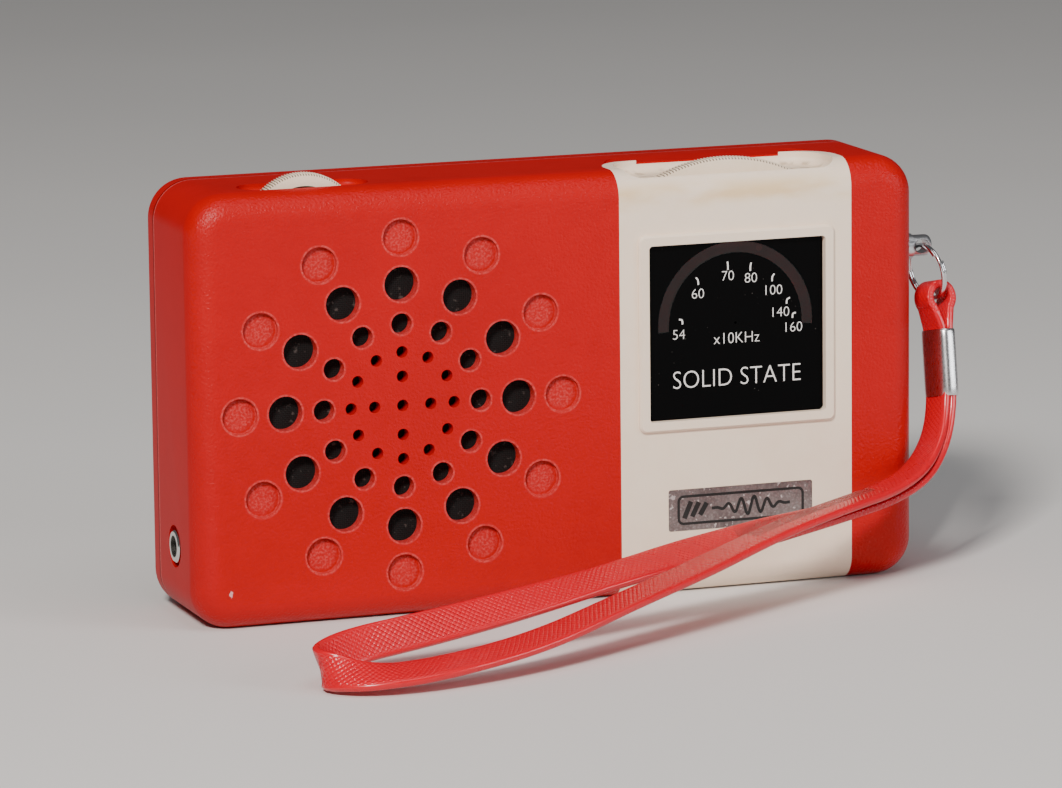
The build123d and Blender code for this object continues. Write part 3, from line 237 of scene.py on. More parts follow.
def shared_group(
    name: str,
    inputs: dict[str, str],
    outputs: dict[str, str],
    fill: Callable[[Graph, bpy.types.Node], Inputs],
) -> bpy.types.NodeTree:
    """Make one shader node group, or return it if it is there.

    Args:
        name: The group's name.
        inputs: Socket types by input name.
        outputs: Socket types by output name.
        fill: Builds the inside and returns what feeds each output.

    Returns:
        The group.
    """
    found = bpy.data.node_groups.get(name)
    if found:
        return found
    tree = bpy.data.node_groups.new(name, "ShaderNodeTree")
    for label, kind in inputs.items():
        tree.interface.new_socket(label, in_out="INPUT", socket_type=kind)
    for label, kind in outputs.items():
        tree.interface.new_socket(label, in_out="OUTPUT", socket_type=kind)
    graph = Graph(tree)
    entry = tree.nodes.new("NodeGroupInput")
    leaving = tree.nodes.new("NodeGroupOutput")
    for label, value in fill(graph, entry).items():
        graph.feed(leaving.inputs[label], value)
    return tree


VECTOR = "NodeSocketVector"
NUMBER = "NodeSocketFloat"
COLOUR = "NodeSocketColor"


def pebble_group() -> bpy.types.NodeTree:
    """Moulded pebble grain: rounded cells of uneven height."""

    def fill(graph: Graph, entry: bpy.types.Node) -> Inputs:
        """Add a cell pattern, bent by noise, to a finer noise."""
        place, scale = entry.outputs["Place"], entry.outputs["Scale"]
        drift = graph.add("ShaderNodeTexNoise", {"Vector": place, "Scale": scale, "Detail": 2.0})
        bent = graph.add(
            "ShaderNodeVectorMath",
            {0: drift.outputs["Color"], 1: (0.00025, 0.00025, 0.00025), 2: place},
            operation="MULTIPLY_ADD",
        )
        cell = graph.cells(bent.outputs[0], scale, "SMOOTH_F1")
        crown = graph.math("SUBTRACT", 1.0, cell.outputs["Distance"])
        fine = graph.noise(place, graph.times(scale, 2.6), 4.0)
        height = graph.math("ADD", graph.times(crown, 0.72), graph.times(fine, 0.45))
        return {"Height": height, "Fine": fine}

    return shared_group(
        "pebble_grain", {"Place": VECTOR, "Scale": NUMBER}, {"Height": NUMBER, "Fine": NUMBER}, fill
    )


def wear_group() -> bpy.types.NodeTree:
    """Slow change of colour and gloss from handling."""

    def fill(graph: Graph, entry: bpy.types.Node) -> Inputs:
        """Mix a second colour in by broad noise, broken up by finer noise."""
        place, scale = entry.outputs["Place"], entry.outputs["Scale"]
        broad = graph.noise(place, scale, 3.0)
        fine = graph.noise(place, graph.times(scale, 9.0), 5.0)
        both = graph.math("ADD", graph.times(broad, 0.65), graph.times(fine, 0.35))
        mask = graph.step(both, 0.40, 0.66)
        share = graph.times(mask, entry.outputs["Amount"])
        colour = graph.mix(share, entry.outputs["Colour"], entry.outputs["Tint"])
        return {"Colour": colour, "Mask": mask}

    return shared_group(
        "handling_wear",
        {"Place": VECTOR, "Scale": NUMBER, "Colour": COLOUR, "Tint": COLOUR, "Amount": NUMBER},
        {"Colour": COLOUR, "Mask": NUMBER},
        fill,
    )


def brushed_group() -> bpy.types.NodeTree:
    """Fine scratches that run one way."""

    def fill(graph: Graph, entry: bpy.types.Node) -> Inputs:
        """Add two noises that are long one way and short the other."""
        place = entry.outputs["Place"]
        coarse = graph.noise(graph.stretch(place, (9000.0, 9000.0, 160.0)), 1.0, 3.0)
        fine = graph.noise(graph.stretch(place, (24000.0, 24000.0, 500.0)), 1.0, 2.0)
        return {"Height": graph.math("ADD", coarse, graph.times(fine, 0.5)), "Streak": coarse}

    return shared_group("brushed_lines", {"Place": VECTOR}, {"Height": NUMBER, "Streak": NUMBER}, fill)


def weave_group() -> bpy.types.NodeTree:
    """A plain weave: two crossed sets of rounded threads."""

    def fill(graph: Graph, entry: bpy.types.Node) -> Inputs:
        """Take the larger of two sines, each lifted in turn by a slower checker of the other."""
        u, v, _ = graph.axes(entry.outputs["Place"])
        turn = graph.times(entry.outputs["Threads"], 2.0 * math.pi)
        along, across = graph.times(u, turn), graph.times(v, turn)
        warp = graph.math("ABSOLUTE", graph.math("SINE", along))
        weft = graph.math("ABSOLUTE", graph.math("SINE", across))
        sign = graph.times(graph.math("SINE", along), graph.math("SINE", across))
        return {"Height": graph.blend(graph.step(sign, -0.15, 0.15), warp, weft)}

    return shared_group("plain_weave", {"Place": VECTOR, "Threads": NUMBER}, {"Height": NUMBER}, fill)


# ---- finishes ---------------------------------------------------------------------------------


@dataclass(frozen=True)
class Finish:
    """A surface finish, made as one material that holds one Principled BSDF."""

    name: str

    def inputs(self, graph: Graph) -> Inputs:
        """Return what feeds each input of the shader."""
        raise NotImplementedError

    def make(self) -> bpy.types.Material:
        """Build the material."""
        material = bpy.data.materials.new(self.name)
        material.use_nodes = True
        material.node_tree.nodes.clear()
        graph = Graph(material.node_tree)
        shader = graph.add("ShaderNodeBsdfPrincipled")
        leaving = graph.add("ShaderNodeOutputMaterial")
        graph.feed(leaving.inputs["Surface"], shader.outputs[0])
        for label, value in self.inputs(graph).items():
            graph.feed(shader.inputs[label], value)
        return material


@dataclass(frozen=True)
class MouldedFinish(Finish):
    """Moulded plastic, rubber, paper, ferrite or paint with its own grain.

    Lengths are in metres. Grain is the size of one grain and depth is its height.
    """

    colour: Colour
    tint: Colour
    roughness: float
    wear: float = 0.25
    grain: float = 0.0006
    depth: float = 0.00001
    coat: float = 0.0
    specular: float = 0.5

    def inputs(self, graph: Graph) -> Inputs:
        """Wear the colour and lay the grain over it."""
        place = graph.place()
        colour, worn = graph.worn(place, 90.0, self.colour, self.tint, self.wear)
        height, _ = graph.grain(place, 1.0 / self.grain)
        return {"Base Color": colour,
                "Roughness": graph.blend(worn, self.roughness * 0.88, min(self.roughness * 1.18, 1.0)),
                "Normal": graph.bump(height, self.depth),
                "Coat Weight": self.coat, "Specular IOR Level": self.specular}


@dataclass(frozen=True)
class MetalFinish(Finish):
    """Bare or plated metal with fine scratches along Z."""

    colour: Colour
    tint: Colour
    roughness: float
    scratch: float = 0.000002
    wear: float = 0.4

    def inputs(self, graph: Graph) -> Inputs:
        """Tarnish the colour and draw the scratches."""
        place = graph.place()
        colour, _ = graph.worn(place, 320.0, self.colour, self.tint, self.wear)
        lines = graph.use(brushed_group(), {"Place": place})
        return {"Base Color": colour,
                "Roughness": graph.blend(lines.outputs["Streak"], self.roughness * 0.7, self.roughness * 1.4),
                "Normal": graph.bump(lines.outputs["Height"], self.scratch), "Metallic": 1.0}


@dataclass(frozen=True)
class CaseFinish(Finish):
    """Red case plastic: pebbled on the front and its rounded edges, smooth on the sides and back.

    Each ring is its radius and the radius of its twelve holes, with the blind dimples first. The hole rims,
    the dimple floors and a thin line just in front of the seam carry painted highlights.
    """

    name: str = "red_case_plastic"
    colour: Colour = (0.47, 0.0, 0.0020)
    tint: Colour = (0.40, 0.0, 0.0014)
    # Colour of the painted highlights on the hole rims, the dimple floors and beside the seam.
    painted_highlight: Colour = (0.80, 0.17, 0.16)
    chipped: Colour = (0.75, 0.33, 0.33)
    gap: Colour = (0.05, 0.0, 0.0)
    grain: float = 0.00044
    depth: float = 0.00013
    grain_end: float = -0.0098
    grain_full: float = -0.0118
    nick: tuple[float, float] = (-0.0575, 0.0063)
    nick_radius: float = 0.00085
    grille: tuple[float, float] = (-0.02775, 0.0354)
    seam: float = 0.0080
    # How far in front of the seam its painted highlight runs.
    seam_highlight_offset: float = 0.00045
    rings: tuple[tuple[float, float], ...] = ((0.0277, 0.00295), (0.0200, 0.00285), (0.01346, 0.00175))

    def grille_highlights(self, graph: Graph, x: object, z: object) -> tuple[object, object]:
        """Mask the painted highlights on the rims of the grille's holes and on the floors of its blind
        dimples.

        One twelfth of a turn is folded onto each ring's first hole.

        Args:
            graph: The material's graph.
            x: Position across the radio.
            z: Height.

        Returns:
            The painted highlights' masks on the hole rims and on the dimple floors.
        """
        dx = graph.math("SUBTRACT", x, self.grille[0])
        dz = graph.math("SUBTRACT", z, self.grille[1])
        reach = graph.hypot(dx, dz)
        turns = graph.times(graph.math("ARCTAN2", dz, dx), 6.0 / math.pi)
        sector = graph.math("SUBTRACT", graph.math("FRACT", graph.math("ADD", turns, 0.5)), 0.5)
        angle = graph.times(sector, math.pi / 6.0)
        along = graph.times(reach, graph.math("COSINE", angle))
        aside = graph.times(reach, graph.math("SINE", angle))
        rim_highlights: object = 0.0
        floor_highlights: object = 0.0
        for number, (ring, radius) in enumerate(self.rings):
            away = graph.hypot(graph.math("SUBTRACT", along, ring), aside)
            rim = graph.times(graph.step(away, radius - 0.00022, radius - 0.00006),
                              graph.step(away, radius + 0.00042, radius + 0.00018))
            rim_highlights = graph.math("MAXIMUM", rim_highlights, rim)
            if number == 0:
                floor_highlights = graph.step(away, radius - 0.0001, radius - 0.0009)
        return rim_highlights, floor_highlights

    def inputs(self, graph: Graph) -> Inputs:
        """Lay the grain on the front, paint highlights on the grille's rims and dimple floors and beside the
        seam, darken the seam line and mark the nick.
        """
        place = graph.place()
        x, y, z = graph.axes(place)
        worn, _ = graph.worn(place, 38.0, self.colour, self.tint, 0.5)
        front = graph.step(y, self.grain_end, self.grain_full)
        pebbles, fine = graph.grain(place, 1.0 / self.grain)
        satin, _ = graph.grain(place, 5200.0)
        height = graph.blend(front, graph.times(satin, 0.10), pebbles)
        reach = graph.hypot(graph.times(graph.math("SUBTRACT", x, self.nick[0]), 1.6),
                            graph.math("SUBTRACT", z, self.nick[1]))
        ragged = graph.math("ADD", reach, graph.times(graph.noise(place, 2600.0), 0.0009))
        nick = graph.times(front, graph.step(ragged, self.nick_radius + 0.0002, self.nick_radius))
        rim_highlights, floor_highlights = self.grille_highlights(graph, x, z)
        mottle = graph.step(graph.noise(place, 2400.0, 4.0), 0.40, 0.66)
        # Painted highlights: mottled pale rings on the hole rims and pale dimple floors.
        rim_highlights = graph.times(rim_highlights, front, graph.blend(mottle, 0.10, 0.34))
        floor_highlights = graph.times(floor_highlights, front, graph.blend(mottle, 0.03, 0.26))
        # Painted highlight on a thin line just in front of the seam.
        beside = graph.away(y, self.seam - self.seam_highlight_offset)
        edge = graph.times(graph.step(beside, 0.00030, 0.00012), graph.blend(mottle, 0.25, 0.60))
        painted_highlight = graph.math("MAXIMUM", graph.math("MAXIMUM", rim_highlights, floor_highlights), edge)
        colour = graph.mix(painted_highlight, worn, self.painted_highlight)
        colour = graph.mix(graph.step(graph.away(y, self.seam), 0.00022, 0.00010), colour, self.gap)
        return {"Base Color": graph.mix(nick, colour, self.chipped),
                "Roughness": graph.blend(front, 0.40, graph.blend(fine, 0.24, 0.44)),
                "Normal": graph.bump(graph.math("SUBTRACT", height, nick), self.depth),
                "Specular IOR Level": graph.blend(front, 0.10, 0.24)}


@dataclass(frozen=True)
class TrimFinish(Finish):
    """Cream plastic that has yellowed along its top edge and holds grime in the finger scoop."""

    name: str = "cream_trim_plastic"
    colour: Colour = (0.92, 0.76, 0.61)
    tint: Colour = (0.87, 0.69, 0.53)
    yellow: Colour = (0.80, 0.56, 0.27)
    grime: Colour = (0.36, 0.25, 0.15)
    streak_middle: float = 0.0672
    streak_half: float = 0.0030

    def inputs(self, graph: Graph) -> Inputs:
        """Wear the colour, then add the yellow streak and the scoop's grime."""
        place = graph.place()
        _, y, z = graph.axes(place)
        worn, _ = graph.worn(place, 45.0, self.colour, self.tint, 0.45)
        band = graph.step(graph.away(z, self.streak_middle), self.streak_half, 0.0003)
        cloudy = graph.step(graph.noise(graph.stretch(place, (70.0, 70.0, 220.0)), 1.0, 4.0), 0.34, 0.60)
        yellowed = graph.mix(graph.times(band, cloudy, 0.75), worn, self.yellow)
        inside = graph.times(graph.step(y, -0.0127, -0.0118), graph.step(z, 0.0702, 0.0696))
        near_top = graph.step(z, 0.0683, 0.0690)
        specks = graph.step(graph.noise(place, 420.0, 6.0), 0.50, 0.68)
        satin, fine = graph.grain(place, 2600.0)
        return {"Base Color": graph.mix(graph.times(inside, near_top, specks, 0.55), yellowed, self.grime),
                "Roughness": graph.blend(fine, 0.42, 0.60),
                "Normal": graph.bump(satin, 0.000009),
                "Subsurface Weight": 0.08, "Subsurface Radius": (0.0012, 0.0008, 0.0005)}


@dataclass(frozen=True)
class WheelFinish(Finish):
    """Cream plastic with painted shade, in a grime colour, between the teeth of its rim."""

    centre_x: float
    centre_z: float
    radius: float
    tooth: float
    teeth: int
    colour: Colour = (0.92, 0.77, 0.61)
    tint: Colour = (0.84, 0.68, 0.50)
    # The colour of the painted shade between the teeth.
    grime: Colour = (0.10, 0.05, 0.025)

    def inputs(self, graph: Graph) -> Inputs:
        """Wear the colour and paint shade in the valleys, found by the angle about the wheel's centre."""
        place = graph.place()
        x, _, z = graph.axes(place)
        worn, _ = graph.worn(place, 90.0, self.colour, self.tint, 0.5)
        x_arm, z_arm = graph.math("SUBTRACT", x, self.centre_x), graph.math("SUBTRACT", z, self.centre_z)
        turns = graph.times(graph.math("ARCTAN2", z_arm, x_arm), self.teeth / (2.0 * math.pi))
        aside = graph.away(graph.math("FRACT", turns), 0.5)
        rim = graph.step(graph.hypot(x_arm, z_arm), self.radius - 1.25 * self.tooth,
                         self.radius - 0.95 * self.tooth)
        # Painted shade in each valley between the teeth.
        valley_shade = graph.times(rim, graph.step(aside, 0.22, 0.38), 0.9)
        satin, fine = graph.grain(place, 2400.0)
        return {"Base Color": graph.mix(valley_shade, worn, self.grime),
                "Roughness": graph.blend(fine, 0.38, 0.55), "Normal": graph.bump(satin, 0.000008)}


@dataclass(frozen=True)
class DialFinish(Finish):
    """Polished dark plastic with a little dust and hairline scratches."""

    name: str = "dial_black_gloss"
    colour: Colour = (0.0012, 0.0012, 0.0014)
    dust: Colour = (0.06, 0.055, 0.05)

    def inputs(self, graph: Graph) -> Inputs:
        """Scatter dust specks and hairlines over the gloss."""
        place = graph.place()
        specks = graph.step(graph.cells(place, 900.0).outputs["Distance"], 0.10, 0.05)
        dust = graph.times(specks, graph.step(graph.noise(place, 260.0, 2.0), 0.56, 0.66))
        hair = graph.noise(graph.stretch(place, (3000.0, 300.0, 90.0)), 1.0, 2.0)
        return {"Base Color": graph.mix(dust, self.colour, self.dust),
                "Roughness": graph.blend(dust, graph.blend(hair, 0.05, 0.11), 0.6),
                "Normal": graph.bump(hair, 0.0000004), "Specular IOR Level": 0.06}


@dataclass(frozen=True)
class ClearFinish(Finish):
    """Clear dark plastic over the red disc."""

    name: str = "dial_clear"

    def inputs(self, graph: Graph) -> Inputs:
        """Haze the tint and the gloss a little."""
        haze = graph.noise(graph.place(), 600.0, 3.0)
        return {"Base Color": graph.mix(haze, (0.16, 0.0, 0.0), (0.28, 0.004, 0.004)),
                "Roughness": graph.blend(haze, 0.03, 0.10),
                "Transmission Weight": 1.0, "IOR": 1.45, "Specular IOR Level": 0.05}


@dataclass(frozen=True)
class FoilFinish(Finish):
    """Mottled silver foil with painted glints."""

    name: str = "badge_foil_silver"
    colour: Colour = (0.40, 0.35, 0.34)
    tint: Colour = (0.16, 0.12, 0.12)
    # The colour of the painted glints.
    bright: Colour = (0.80, 0.76, 0.74)

    def inputs(self, graph: Graph) -> Inputs:
        """Mottle the foil with dull cells and paint bright specks as glints."""
        place = graph.place()
        worn, _ = graph.worn(place, 260.0, self.colour, self.tint, 0.65)
        speck = graph.step(graph.cells(place, 2300.0).outputs["Distance"], 0.15, 0.75)
        # Painted glints: sparse bright specks.
        bright = graph.step(graph.noise(place, 1300.0, 4.0), 0.60, 0.68)
        dull = graph.mix(graph.times(speck, 0.35), worn, self.tint)
        return {"Base Color": graph.mix(bright, dull, self.bright),
                "Roughness": graph.blend(speck, 0.30, 0.50), "Normal": graph.bump(speck, 0.00002),
                "Metallic": 1.0}


@dataclass(frozen=True)
class ClothFinish(Finish):
    """Black speaker cloth in a plain weave, with a little lint."""

    name: str = "speaker_cloth_black"
    threads: float = 1500.0
    hollow: Colour = (0.001, 0.001, 0.001)
    thread: Colour = (0.012, 0.011, 0.011)
    lint: Colour = (0.07, 0.06, 0.055)

    def inputs(self, graph: Graph) -> Inputs:
        """Weave the threads in the XZ plane and scatter lint."""
        place = graph.place()
        x, _, z = graph.axes(place)
        flat = graph.add("ShaderNodeCombineXYZ", {0: x, 1: z}).outputs[0]
        weave = graph.use(weave_group(), {"Place": flat, "Threads": self.threads}).outputs["Height"]
        lint = graph.step(graph.noise(place, 900.0, 5.0), 0.60, 0.72)
        return {"Base Color": graph.mix(lint, graph.mix(weave, self.hollow, self.thread), self.lint),
                "Specular IOR Level": 0.2, "Roughness": graph.blend(lint, 0.85, 1.0),
                "Normal": graph.bump(weave, 0.00008)}


@dataclass(frozen=True)
class StrapFinish(Finish):
    """Glossy red vinyl, both faces embossed with a fine diamond mesh.

    The piece's UV map runs in metres: U across the strap from its middle, V along it.
    """

    name: str = "strap_vinyl_red"
    colour: Colour = (0.62, 0.0, 0.0120)
    tint: Colour = (0.52, 0.0, 0.0090)
    pitch: float = 0.0010
    face_half: float = 0.00262

    def inputs(self, graph: Graph) -> Inputs:
        """Emboss the faces between their plain edges; the gloss coat follows the mesh more deeply."""
        place = graph.place()
        u, v, _ = graph.axes(graph.add("ShaderNodeUVMap", uv_map="strap").outputs[0])
        turn = math.pi / self.pitch
        first = graph.math("SINE", graph.times(graph.math("ADD", u, v), turn))
        second = graph.math("SINE", graph.times(graph.math("SUBTRACT", u, v), turn))
        diamond = graph.times(graph.math("ABSOLUTE", first), graph.math("ABSOLUTE", second))
        face = graph.step(graph.math("ABSOLUTE", u), self.face_half, self.face_half - 0.0004)
        emboss = graph.times(graph.math("POWER", diamond, 0.6), face)
        colour, _ = graph.worn(place, 60.0, self.colour, self.tint, 0.45)
        ripple = graph.noise(place, 240.0, 3.0)
        height = graph.math("ADD", emboss, graph.times(ripple, 0.5))
        return {"Base Color": colour, "Roughness": graph.blend(ripple, 0.20, 0.36),
                "Normal": graph.bump(height, 0.00007), "Specular IOR Level": 0.35,
                "Coat Normal": graph.bump(height, 0.00018), "Coat Weight": 0.45, "Coat Roughness": 0.14}


@dataclass(frozen=True)
class BoardFinish(Finish):
    """Brown phenolic board with faint copper runs that show through from its other side."""

    name: str = "board_phenolic"
    colour: Colour = (0.30, 0.155, 0.055)
    fibre: Colour = (0.36, 0.20, 0.08)
    run: Colour = (0.20, 0.11, 0.045)

    def inputs(self, graph: Graph) -> Inputs:
        """Draw the fibres and the runs."""
        place = graph.place()
        runs = graph.step(graph.cells(place, 210.0, "DISTANCE_TO_EDGE").outputs["Distance"], 0.10, 0.16)
        fibre = graph.noise(graph.stretch(place, (900.0, 900.0, 5200.0)), 1.0, 4.0)
        base = graph.mix(graph.times(fibre, 0.5), self.colour, self.fibre)
        return {"Base Color": graph.mix(graph.times(runs, 0.6), base, self.run),
                "Roughness": graph.blend(fibre, 0.35, 0.6), "Normal": graph.bump(fibre, 0.00001)}


@dataclass(frozen=True)
class BandedFinish(Finish):
    """A lacquered part with rings of colour along Y, as on resistors and sleeved capacitors."""

    colour: Colour
    bands: tuple[tuple[float, float, Colour], ...]
    roughness: float = 0.3
    blur: float = 0.00005

    def inputs(self, graph: Graph) -> Inputs:
        """Paint each band over the last."""
        place = graph.place()
        _, y, _ = graph.axes(place)
        colour: object = self.colour
        for low, high, paint in self.bands:
            inside = graph.times(graph.step(y, low - self.blur, low + self.blur),
                                 graph.step(y, high + self.blur, high - self.blur))
            colour = graph.mix(inside, colour, paint)
        gloss = graph.noise(place, 700.0, 4.0)
        return {"Base Color": colour,
                "Roughness": graph.blend(gloss, self.roughness * 0.8, self.roughness * 1.3),
                "Normal": graph.bump(gloss, 0.000012), "Coat Weight": 0.2}


@dataclass(frozen=True)
class WoundFinish(Finish):
    """Enamelled wire wound side by side along one axis, with painted shade in the grooves between turns."""

    colour: Colour
    axis: int
    pitch: float
    metallic: float = 0.8

    def inputs(self, graph: Graph) -> Inputs:
        """Paint shade in the grooves between turns and raise each turn."""
        along = graph.axes(graph.place())[self.axis]
        turns = graph.math("ABSOLUTE", graph.math("SINE", graph.times(along, math.pi / self.pitch)))
        # Painted shade: each groove darkens to 0.35 of the colour.
        return {"Base Color": graph.mix(turns, tuple(0.35 * c for c in self.colour), self.colour),
                "Roughness": graph.blend(turns, 0.55, 0.28),
                "Normal": graph.bump(turns, self.pitch * 0.45), "Metallic": self.metallic}


@dataclass(frozen=True)
class BatteryFinish(Finish):
    """A printed steel jacket in three plain fields of colour."""

    name: str = "battery_jacket_printed"
    light: Colour = (0.55, 0.40, 0.10)
    dark: Colour = (0.020, 0.022, 0.026)
    stripe: Colour = (0.75, 0.75, 0.73)
    steel: Colour = (0.3, 0.3, 0.3)

    def inputs(self, graph: Graph) -> Inputs:
        """Print the fields by X and rub the print through to the steel."""
        place = graph.place()
        x, _, _ = graph.axes(place)
        low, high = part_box("battery")
        edge = low.x + (high.x - low.x) / 3.0
        stripe = graph.times(graph.step(x, edge - 0.0016, edge - 0.0015), graph.step(x, edge, edge - 0.0001))
        base = graph.mix(graph.step(x, edge, edge + 0.0001), self.light, self.dark)
        base = graph.mix(stripe, base, self.stripe)
        rub = graph.step(graph.noise(place, 300.0, 6.0), 0.62, 0.72)
        return {"Base Color": graph.mix(graph.times(rub, 0.4), base, self.steel),
                "Roughness": graph.blend(rub, 0.28, 0.5),
                "Normal": graph.bump(graph.noise(place, 1500.0), 0.000004),
                "Metallic": graph.blend(rub, 0.15, 0.6)}


@dataclass(frozen=True)
class FloorFinish(Finish):
    """Plain pale floor with a faint cloudiness."""

    name: str = "floor_pale"

    def inputs(self, graph: Graph) -> Inputs:
        """Cloud the colour and the roughness together."""
        cloud = graph.noise(graph.place(), 6.0, 2.0)
        return {"Base Color": graph.mix(cloud, (0.70, 0.69, 0.68), (0.74, 0.73, 0.72)),
                "Roughness": graph.blend(cloud, 0.75, 0.85)}


# ---- meshes -------------------------------------------------------------------------------------


def add_piece(mesh: bpy.types.Mesh, name: str, body: Body, material: bpy.types.Material,
              replaces: Sequence[str] = ()) -> bpy.types.Object:
    """Put a finished mesh in the scene as a piece of one body.

    Args:
        mesh: The mesh, with its place in its points.
        name: The piece's name.
        body: The body it rides on.
        material: Its finish.
        replaces: CAD nodes that it stands for.

    Returns:
        The piece.
    """
    piece = bpy.data.objects.new(name, mesh)
    bpy.context.scene.collection.objects.link(piece)
    mesh.materials.clear()
    mesh.materials.append(material)
    if replaces:
        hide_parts(*replaces)
    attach(piece, body.value)
    log.info("piece %s rides on %s with %d faces", name, body.value, len(mesh.polygons))
    return piece


def grid_mesh(name: str, points: np.ndarray, wrap_rows: bool = False, wrap_columns: bool = False,
              cap: bool = False, keep: np.ndarray | None = None) -> bpy.types.Mesh:
    """Make a mesh from a grid of points.

    Each face joins a point to the next in its row and to the same two in the next row.

    Args:
        name: The mesh's name.
        points: Rows by columns by three.
        wrap_rows: Join the last row to the first.
        wrap_columns: Join each row's last point to its first.
        cap: Close the first and last rows with one face each.
        keep: Rows by columns of faces to keep, or all of them.

    Returns:
        The mesh, shaded smooth.
    """
    rows, columns = points.shape[:2]
    row = np.arange(rows if wrap_rows else rows - 1)
    column = np.arange(columns if wrap_columns else columns - 1)
    i, j = np.meshgrid(row, column, indexing="ij")
    after_i, after_j = (i + 1) % rows, (j + 1) % columns
    quads = np.stack([i * columns + j, i * columns + after_j, after_i * columns + after_j,
                      after_i * columns + j], axis=-1)
    if keep is not None:
        quads = quads[keep[: quads.shape[0], : quads.shape[1]]]
    faces: list[list[int]] = quads.reshape(-1, 4).tolist()
    if cap:
        faces.append(list(range(columns))[::-1])
        faces.append([(rows - 1) * columns + k for k in range(columns)])
    mesh = bpy.data.meshes.new(name)
    mesh.from_pydata(points.reshape(-1, 3).tolist(), [], faces)
    return tidy_mesh(mesh)


def shade_smooth(mesh: bpy.types.Mesh, crease: float) -> bpy.types.Mesh:
    """Shade a mesh smooth, except over edges sharper than crease, in degrees."""
    mesh.polygons.foreach_set("use_smooth", np.ones(len(mesh.polygons), dtype=bool))
    mesh.set_sharp_from_angle(angle=math.radians(crease))
    return mesh


def mesh_points(mesh: bpy.types.Mesh) -> np.ndarray:
    """Read a mesh's points, as points by three."""
    points = np.zeros(len(mesh.vertices) * 3)
    mesh.vertices.foreach_get("co", points)
    return points.reshape(-1, 3)


def tidy_mesh(mesh: bpy.types.Mesh, crease: float = 40.0) -> bpy.types.Mesh:
    """Merge doubled points, turn faces outwards and shade the mesh smooth up to an angle.

    Args:
        mesh: The mesh.
        crease: Edges sharper than this, in degrees, stay sharp.

    Returns:
        The same mesh.
    """
    work = bmesh.new()
    work.from_mesh(mesh)
    bmesh.ops.remove_doubles(work, verts=work.verts, dist=1e-7)
    bmesh.ops.recalc_face_normals(work, faces=work.faces)
    work.to_mesh(mesh)
    work.free()
    return shade_smooth(mesh, crease)


def thick_sheet(mesh: bpy.types.Mesh, thickness: float) -> bpy.types.Mesh:
    """Close an open sheet that faces the front by giving it a thickness to the back.

    Args:
        mesh: The sheet.
        thickness: How thick it becomes.

    Returns:
        The same mesh, closed.
    """
    work = bmesh.new()
    work.from_mesh(mesh)
    bmesh.ops.recalc_face_normals(work, faces=work.faces)
    if sum(face.normal.y for face in work.faces) > 0:
        bmesh.ops.reverse_faces(work, faces=work.faces)
    copy = bmesh.ops.extrude_face_region(work, geom=work.faces)
    moved = [item for item in copy["geom"] if isinstance(item, bmesh.types.BMVert)]
    bmesh.ops.translate(work, verts=moved, vec=(0.0, thickness, 0.0))
    work.to_mesh(mesh)
    work.free()
    return tidy_mesh(mesh, 20.0)


def merged_copy(node: str) -> bpy.types.Mesh:
    """Copy a CAD node's loose triangles into one smooth-shaded mesh.

    Args:
        node: The CAD node.

    Returns:
        The merged mesh.
    """
    mesh = bpy.data.objects[node].data.copy()
    mesh.name = "merged_" + node
    for name in [a.name for a in mesh.attributes if a.name == "custom_normal"]:
        mesh.attributes.remove(mesh.attributes[name])
    work = bmesh.new()
    work.from_mesh(mesh)
    bmesh.ops.remove_doubles(work, verts=work.verts, dist=2e-6)
    bmesh.ops.dissolve_limit(work, angle_limit=math.radians(0.4), verts=work.verts, edges=work.edges)
    work.to_mesh(mesh)
    work.free()
    return shade_smooth(mesh, 32.0)


def dress_node(node: str, body: Body, material: bpy.types.Material, bevel: float = 0.0) -> bpy.types.Object:
    """Show a CAD node through a merged, smooth copy with softened edges.

    Args:
        node: The CAD node.
        body: Its body.
        material: Its finish.
        bevel: The width of its softened edges, in metres, or none.

    Returns:
        The piece that stands for the node.
    """
    piece = add_piece(merged_copy(node), "dressed_" + node, body, material, replaces=[node])
    if bevel:
        soften = piece.modifiers.new("soft_edges", "BEVEL")
        soften.width = bevel
        soften.segments = 2
        soften.limit_method = "ANGLE"
        soften.angle_limit = math.radians(38.0)
        soften.harden_normals = True
        soften.use_clamp_overlap = True
    return piece


def unit(vector: np.ndarray) -> np.ndarray:
    """Scale vectors to a length of one."""
    return vector / np.linalg.norm(vector, axis=-1, keepdims=True)


def rounded_section(width: float, thickness: float, radius: float, corner_points: int = 4) -> np.ndarray:
    """A rounded rectangle as a closed outline, starting in the middle of one wide side.

    Args:
        width: The size along the first direction.
        thickness: The size along the second direction.
        radius: The corners' radius.
        corner_points: Points in each corner, less one.

    Returns:
        Points by two.
    """
    quarter = np.linspace(0.0, math.pi / 2, corner_points + 1)
    parts = [np.array([[0.0, thickness / 2]])]
    for index, (sx, sy) in enumerate(((1, 1), (1, -1), (-1, -1), (-1, 1))):
        start = math.pi / 2 - index * math.pi / 2
        angle = start - quarter
        centre = np.array([sx * (width / 2 - radius), sy * (thickness / 2 - radius)])
        parts.append(centre + radius * np.stack([np.cos(angle), np.sin(angle)], axis=-1))
    return np.concatenate(parts)


def oval_section(width: float, thickness: float, power: float, count: int = 56) -> np.ndarray:
    """A closed outline between an oval and a rectangle.

    Each coordinate is its half size times the sine or cosine raised to two over the power, with
    its sign kept.

    Args:
        width: The size along the first direction.
        thickness: The size along the second direction.
        power: Two gives an oval, and more gives squarer corners.
        count: The number of points.

    Returns:
        Points by two.
    """
    angle = np.linspace(0.0, 2 * math.pi, count, endpoint=False)
    waves = np.stack([np.cos(angle), np.sin(angle)], axis=-1)
    return np.sign(waves) * np.abs(waves) ** (2.0 / power) * np.array([width / 2, thickness / 2])


